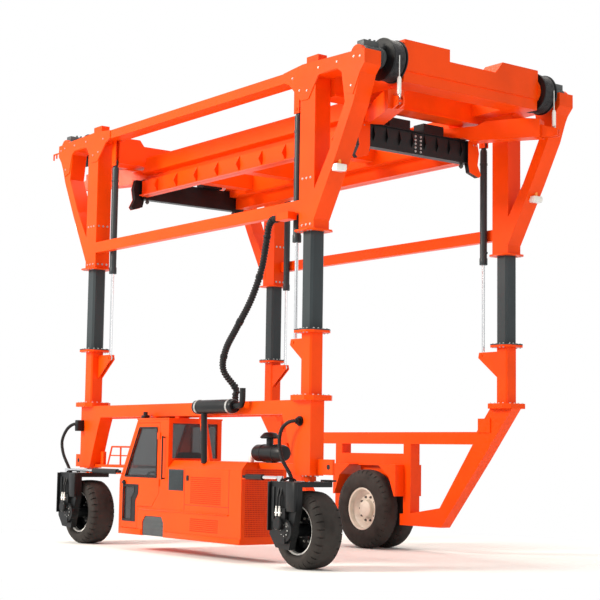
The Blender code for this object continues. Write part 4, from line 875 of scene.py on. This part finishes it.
def makeForkDetails():
    bm = bmesh.new()
    for sx in (-1, 1):
        addRod(bm, (sx * 3.365, -legY - 0.022, 1.35), (sx * 3.365, -legY + 0.022, 1.35), 0.034, 24)
    makePiece("tow_bushes", bm, "hoseRubber", "chassis", 40)
    outer = forkSettings["outerFace"]
    for end, sx in (("front", -1), ("rear", 1)):
        x, body = sx * legX, "fork_" + end
        bm = bmesh.new()
        addTurned(bm, forkSettings["cap"], (x, 0, wheelZ), "y", 40)
        addBox(bm, (x - 0.33, -2.235, 0.62), (x - 0.27, -2.22, 1.08), 0.004)
        addBox(bm, (x + 0.08, -2.235, 0.80), (x + 0.14, -2.22, 1.08), 0.004)
        addRod(bm, (x - 0.30, -2.10, 1.15), (x - 0.30, -2.10, 1.20), 0.045, 20, 0.02)
        addBox(bm, (x - 0.385, outer, 0.50), (x - 0.365, -2.19, 1.145), 0.003)
        addBox(bm, (x + 0.02, outer, 0.76), (x + 0.205, -2.20, 1.145), 0.01)
        addBox(bm, (x - 0.405, -2.20, 1.125), (x + 0.205, -2.165, 1.152), 0.004)
        addTurned(bm, forkSettings["gearbox"], (x - 0.09, 0, 0.60), "y", 36)
        addBox(bm, (x - 0.06, -1.62, 1.15), (x + 0.19, -1.54, 1.175), 0.004)
        makePiece("fork_fittings_" + end, bm, "blackPaint", body, 35)
        bm = bmesh.new()
        for dx in forkSettings["valves"]:
            addRod(bm, (x + dx, -2.285, 0.70), (x + dx, -2.285, 0.80), 0.016, 14)
            addRod(bm, (x + dx, -2.285, 0.80), (x + dx, -2.285, 0.83), 0.011, 14)
        addBox(bm, (x - 0.18, -2.295, 0.735), (x - 0.05, outer, 0.75), 0.002)
        makePiece("fork_valves_" + end, bm, "warningWhite", body, 40)
        bm = bmesh.new()
        capRing = ringPlaces((x, -2.268, wheelZ), forkSettings["capRing"], forkSettings["capBolts"], "y")
        addBolts(bm, capRing, (0, -1, 0), 0.008, 0.004)
        for dx in forkSettings["hoses"]:
            addRod(bm, (x + dx, -2.255, 0.72), (x + dx, -2.255, 0.80), 0.014, 12)
        kingpinRing = ringPlaces((x, -legY, 1.15), forkSettings["kingpinRing"], 8, "z")
        addBolts(bm, kingpinRing, (0, 0, 1), 0.010, 0.008)
        makePiece("fork_bolts_" + end, bm, "steelBolt", body)
        bm = bmesh.new()
        for dx in forkSettings["hoses"]:
            foot = x + dx
            route = [(foot, -2.255, 0.78), (foot, -2.25, 0.95), (foot - 0.03, -2.18, 1.16),
                     (foot - 0.04, -2.05, 1.20), (foot - 0.02, -1.98, 1.16)]
            for start, finish in zip(route, route[1:]):
                addRod(bm, start, finish, forkSettings["hoseRadius"], 10)
        makePiece("fork_hoses_" + end, bm, "hoseRubber", body, 60)


wheelHose = {"radius": 0.027, "pitch": 0.022, "depth": 0.004, "legFace": -1.9702}
lineRoutes = {
    "front": [(-3.20, -2.10, 1.165), (-3.22, -2.12, 1.24), (-3.30, -2.18, 1.45), (-3.32, -2.20, 1.66),
              (-3.24, -2.17, 1.84), (-3.12, -2.13, 1.93), (-3.055, -2.07, 1.945), (-3.045, -1.99, 1.945)],
    "rear": [(2.78, -2.02, 1.165), (2.76, -2.03, 1.24), (2.66, -2.09, 1.44), (2.64, -2.13, 1.66),
             (2.70, -2.14, 1.84), (2.80, -2.11, 1.93), (2.87, -2.06, 1.955), (2.89, -1.99, 1.955)],
}


def makeSteeringLines():
    # ribbed hoses that carry oil from the side frame to the wheel motors
    wall, radius = wheelHose["legFace"], wheelHose["radius"]
    for end in ("front", "rear"):
        points = smoothRoute(lineRoutes[end], 60)
        bm = bmesh.new()
        length = corrugatedTube(bm, points, radius, wheelHose["pitch"], wheelHose["depth"], 16)
        piece = makePiece("wheel_hose_" + end, bm, "hoseRubber", None, 30)
        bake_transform(piece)
        foot, top = points[0], points[-1]
        bm = bmesh.new()
        addRod(bm, (foot.x, foot.y, 1.1505), (foot.x, foot.y, 1.19), 0.036, 20)
        makePiece("hose_foot_" + end, bm, "blackPaint", "fork_" + end, 40)
        bm = bmesh.new()
        if end == "front":
            addBox(bm, (top.x - 0.045, -2.10, 1.83), (top.x + 0.045, wall, 2.01), 0.012)
        else:
            addRod(bm, (top.x, -2.035, top.z), (top.x, wall, top.z), 0.045, 24)
            addRod(bm, (top.x, -1.995, top.z), (top.x, wall, top.z), 0.066, 28)
        makePiece("hose_socket_" + end, bm, "blackPaint", "chassis", 40)


cornerHook = {"y": -1.90, "z": 6.70, "radius": 0.014, "from": -4.16, "to": -4.50}


def makeCornerHook():
    # handrail stub beyond the front near brace
    y, z, rail, end = cornerHook["y"], cornerHook["z"], cornerHook["radius"], cornerHook["to"]
    bm = bmesh.new()
    addRod(bm, (cornerHook["from"], y, z), (end, y, z), rail, 14)
    for x, low in ((end, z - 0.10), (end + 0.10, z - 0.08)):
        addRod(bm, (x, y, z), (x, y, low), rail, 14)
    addBox(bm, (-4.20, y - 0.03, z - 0.04), (-4.166, y + 0.03, z + 0.04), 0.004)
    makePiece("corner_hook", bm, "orangePaint", "upper_frame", 40)


makeCabDetails()
makeHoodDetails()
makeCornerHook()
makeDeckRail()
makeExhaust()
makeAirFilter()
makeForkDetails()
print("cab, hood and fittings ready")

# ---------- seat


seatSettings = {
    "base": ((-0.72, -1.86, 0.621), (-0.40, -1.50, 0.83)), "fill": 0.7, "subdivisions": 2,
    # low corner, high corner, lean along x
    "pads": {"seat_cushion": ((-0.87, -1.91, 0.83), (-0.40, -1.45, 0.94), 0.0),
             "seat_back": ((-0.37, -1.89, 0.88), (-0.27, -1.47, 1.51), 0.10)},
}


def makeSeat():
    bm = bmesh.new()
    addBox(bm, *seatSettings["base"], 0.01)
    makePiece("seat_base", bm, "blackPaint", "chassis", replaced=("driver_seat",))
    for name, (low, high, lean) in seatSettings["pads"].items():
        bm = bmesh.new()
        addBox(bm, low, high)
        bmesh.ops.subdivide_edges(bm, edges=list(bm.edges), cuts=3, use_grid_fill=True)
        for vert in bm.verts:
            vert.co.x += (vert.co.z - low[2]) * lean
        pad = makePiece(name, bm, "seatCloth", "chassis", 80)
        crown = pad.modifiers.new("crown", "SUBSURF")
        crown.levels = seatSettings["subdivisions"]
        crown.render_levels = crown.levels


makeSeat()

# ---------- supply hose

hoseRoute = [(2.4197, -2.05, 4.735), (2.36, -2.05, 4.735), (2.30, -2.05, 4.735), (2.21, -2.05, 4.65),
             (2.16, -2.055, 4.42), (2.06, -2.06, 4.05), (1.84, -2.07, 3.65), (1.52, -2.08, 3.28),
             (1.24, -2.07, 2.98), (1.10, -2.01, 2.70), (1.20, -1.86, 2.44), (1.20, -1.86, 2.34),
             (1.20, -1.86, 2.2405)]
supplyHose = {"radius": 0.05, "pitch": 0.040, "depth": 0.009, "straps": range(8, 165, 26)}


def makeSupplyHose():
    radius = supplyHose["radius"]
    points = smoothRoute(hoseRoute, 200)
    bm = bmesh.new()
    length = corrugatedTube(bm, points, radius, supplyHose["pitch"], supplyHose["depth"])
    piece = makePiece("supply_hose_bundle", bm, "hoseRubber", None, 30, replaced=("supply_hose",))
    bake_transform(piece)
    bm = bmesh.new()
    for index in supplyHose["straps"]:
        addRod(bm, points[index], points[index + 2], radius + 0.004, 24)
    straps = makePiece("hose_straps", bm, "blackPaint", None, 40)
    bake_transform(straps)


makeSupplyHose()
makeSteeringLines()
print("soft pieces ready")

# ---------- floor, light and camera

stageSettings = {
    "lampColour": (1.0, 0.94, 0.84), "floorColour": (0.92, 0.92, 0.92), "fadeStart": 3.8, "fadeEnd": 6.6,
    "skyColour": (1.0, 0.97, 0.92, 1.0), "skyStrength": 0.52,
    # name: place, target, size, power
    "lamps": {"sun_side": ((-6.0, -22.0, 13.0), (0, 0, 3.5), 7.0, 7000),
              "end_side": ((20.0, -2.0, 8.0), (0, 0, 3.5), 10.0, 600),
              "overhead": ((0.0, 0.0, 20.0), (0, 0, 0), 12.0, 3000)},
}
cameraSettings = {"place": (18.610, -13.955, 1.557), "forward": (-0.79198, 0.60200, 0.10182), "roll": 0.831,
                  "lens": 88.42}


def backgroundRays(tree):
    # 1 for the rays that see the background: from the camera, off gloss and through glass
    path = tree.nodes.new("ShaderNodeLightPath")
    total = path.outputs["Is Camera Ray"]
    for kind in ("Is Glossy Ray", "Is Transmission Ray"):
        larger = tree.nodes.new("ShaderNodeMath")
        larger.operation = "MAXIMUM"
        tree.links.new(total, larger.inputs[0])
        tree.links.new(path.outputs[kind], larger.inputs[1])
        total = larger.outputs[0]
    return total


def makeFloor():
    bm = bmesh.new()
    bmesh.ops.create_grid(bm, x_segments=1, y_segments=1, size=60)
    mesh = bpy.data.meshes.new("floor")
    bm.to_mesh(mesh)
    bm.free()
    material, tree, shader = newMaterial("paleFloor")
    colour = stageSettings["floorColour"]
    noise = noiseNode(tree, 0.5)
    ramp = rampNode(tree, noise.outputs["Fac"], [(0.3, tuple(c * 0.99 for c in colour)), (0.7, colour)])
    tree.links.new(ramp.outputs["Color"], shader.inputs["Base Color"])
    shader.inputs["Roughness"].default_value = 0.9
    coords = tree.nodes.new("ShaderNodeTexCoord")
    reach = tree.nodes.new("ShaderNodeVectorMath")
    reach.operation = "LENGTH"
    fade = tree.nodes.new("ShaderNodeMapRange")
    fade.interpolation_type = "SMOOTHSTEP"
    fade.inputs["From Min"].default_value = stageSettings["fadeStart"]
    fade.inputs["From Max"].default_value = stageSettings["fadeEnd"]
    both = tree.nodes.new("ShaderNodeMath")
    both.operation = "MULTIPLY"
    glow = tree.nodes.new("ShaderNodeEmission")
    glow.inputs["Color"].default_value = (1.0, 1.0, 1.0, 1.0)
    mix = tree.nodes.new("ShaderNodeMixShader")
    tree.links.new(coords.outputs["Object"], reach.inputs[0])
    tree.links.new(reach.outputs["Value"], fade.inputs["Value"])
    tree.links.new(fade.outputs["Result"], both.inputs[0])
    tree.links.new(backgroundRays(tree), both.inputs[1])
    tree.links.new(both.outputs[0], mix.inputs["Fac"])
    tree.links.new(shader.outputs[0], mix.inputs[1])
    tree.links.new(glow.outputs[0], mix.inputs[2])
    tree.links.new(mix.outputs[0], tree.nodes["Material Output"].inputs["Surface"])
    mesh.materials.append(material)
    floor = bpy.data.objects.new("floor", mesh)
    bpy.context.scene.collection.objects.link(floor)


def makeWorld():
    world = bpy.data.worlds.new("studio")
    world.use_nodes = True
    bpy.context.scene.world = world
    tree = world.node_tree
    light = tree.nodes["Background"]
    light.inputs["Color"].default_value = stageSettings["skyColour"]
    light.inputs["Strength"].default_value = stageSettings["skyStrength"]
    white = tree.nodes.new("ShaderNodeBackground")
    white.inputs["Color"].default_value = (1.0, 1.0, 1.0, 1.0)
    white.inputs["Strength"].default_value = 1.0
    mix = tree.nodes.new("ShaderNodeMixShader")
    tree.links.new(backgroundRays(tree), mix.inputs["Fac"])
    tree.links.new(light.outputs[0], mix.inputs[1])
    tree.links.new(white.outputs[0], mix.inputs[2])
    tree.links.new(mix.outputs[0], tree.nodes["World Output"].inputs["Surface"])


def makeLamp(name, place, target, size, power):
    data = bpy.data.lights.new(name, "AREA")
    data.color = stageSettings["lampColour"]
    data.size = size
    data.energy = power
    lamp = bpy.data.objects.new(name, data)
    lamp.location = place
    way = Vector(target) - Vector(place)
    lamp.rotation_euler = way.to_track_quat("-Z", "Y").to_euler()
    bpy.context.scene.collection.objects.link(lamp)


def makeCamera():
    data = bpy.data.cameras.new("camera")
    data.sensor_width = 36.0
    data.lens = cameraSettings["lens"]
    data.clip_end = 500.0
    camera = bpy.data.objects.new("camera", data)
    camera.location = cameraSettings["place"]
    turn = Vector(cameraSettings["forward"]).to_track_quat("-Z", "Y").to_matrix().to_4x4()
    roll = Matrix.Rotation(math.radians(cameraSettings["roll"]), 4, "Z")
    camera.matrix_world = Matrix.Translation(camera.location) @ turn @ roll
    bpy.context.scene.collection.objects.link(camera)
    bpy.context.scene.camera = camera


makeFloor()
makeWorld()
for name, lamp in stageSettings["lamps"].items():
    makeLamp(name, *lamp)
makeCamera()
bpy.context.scene.view_settings.view_transform = "Standard"
print("stage ready")
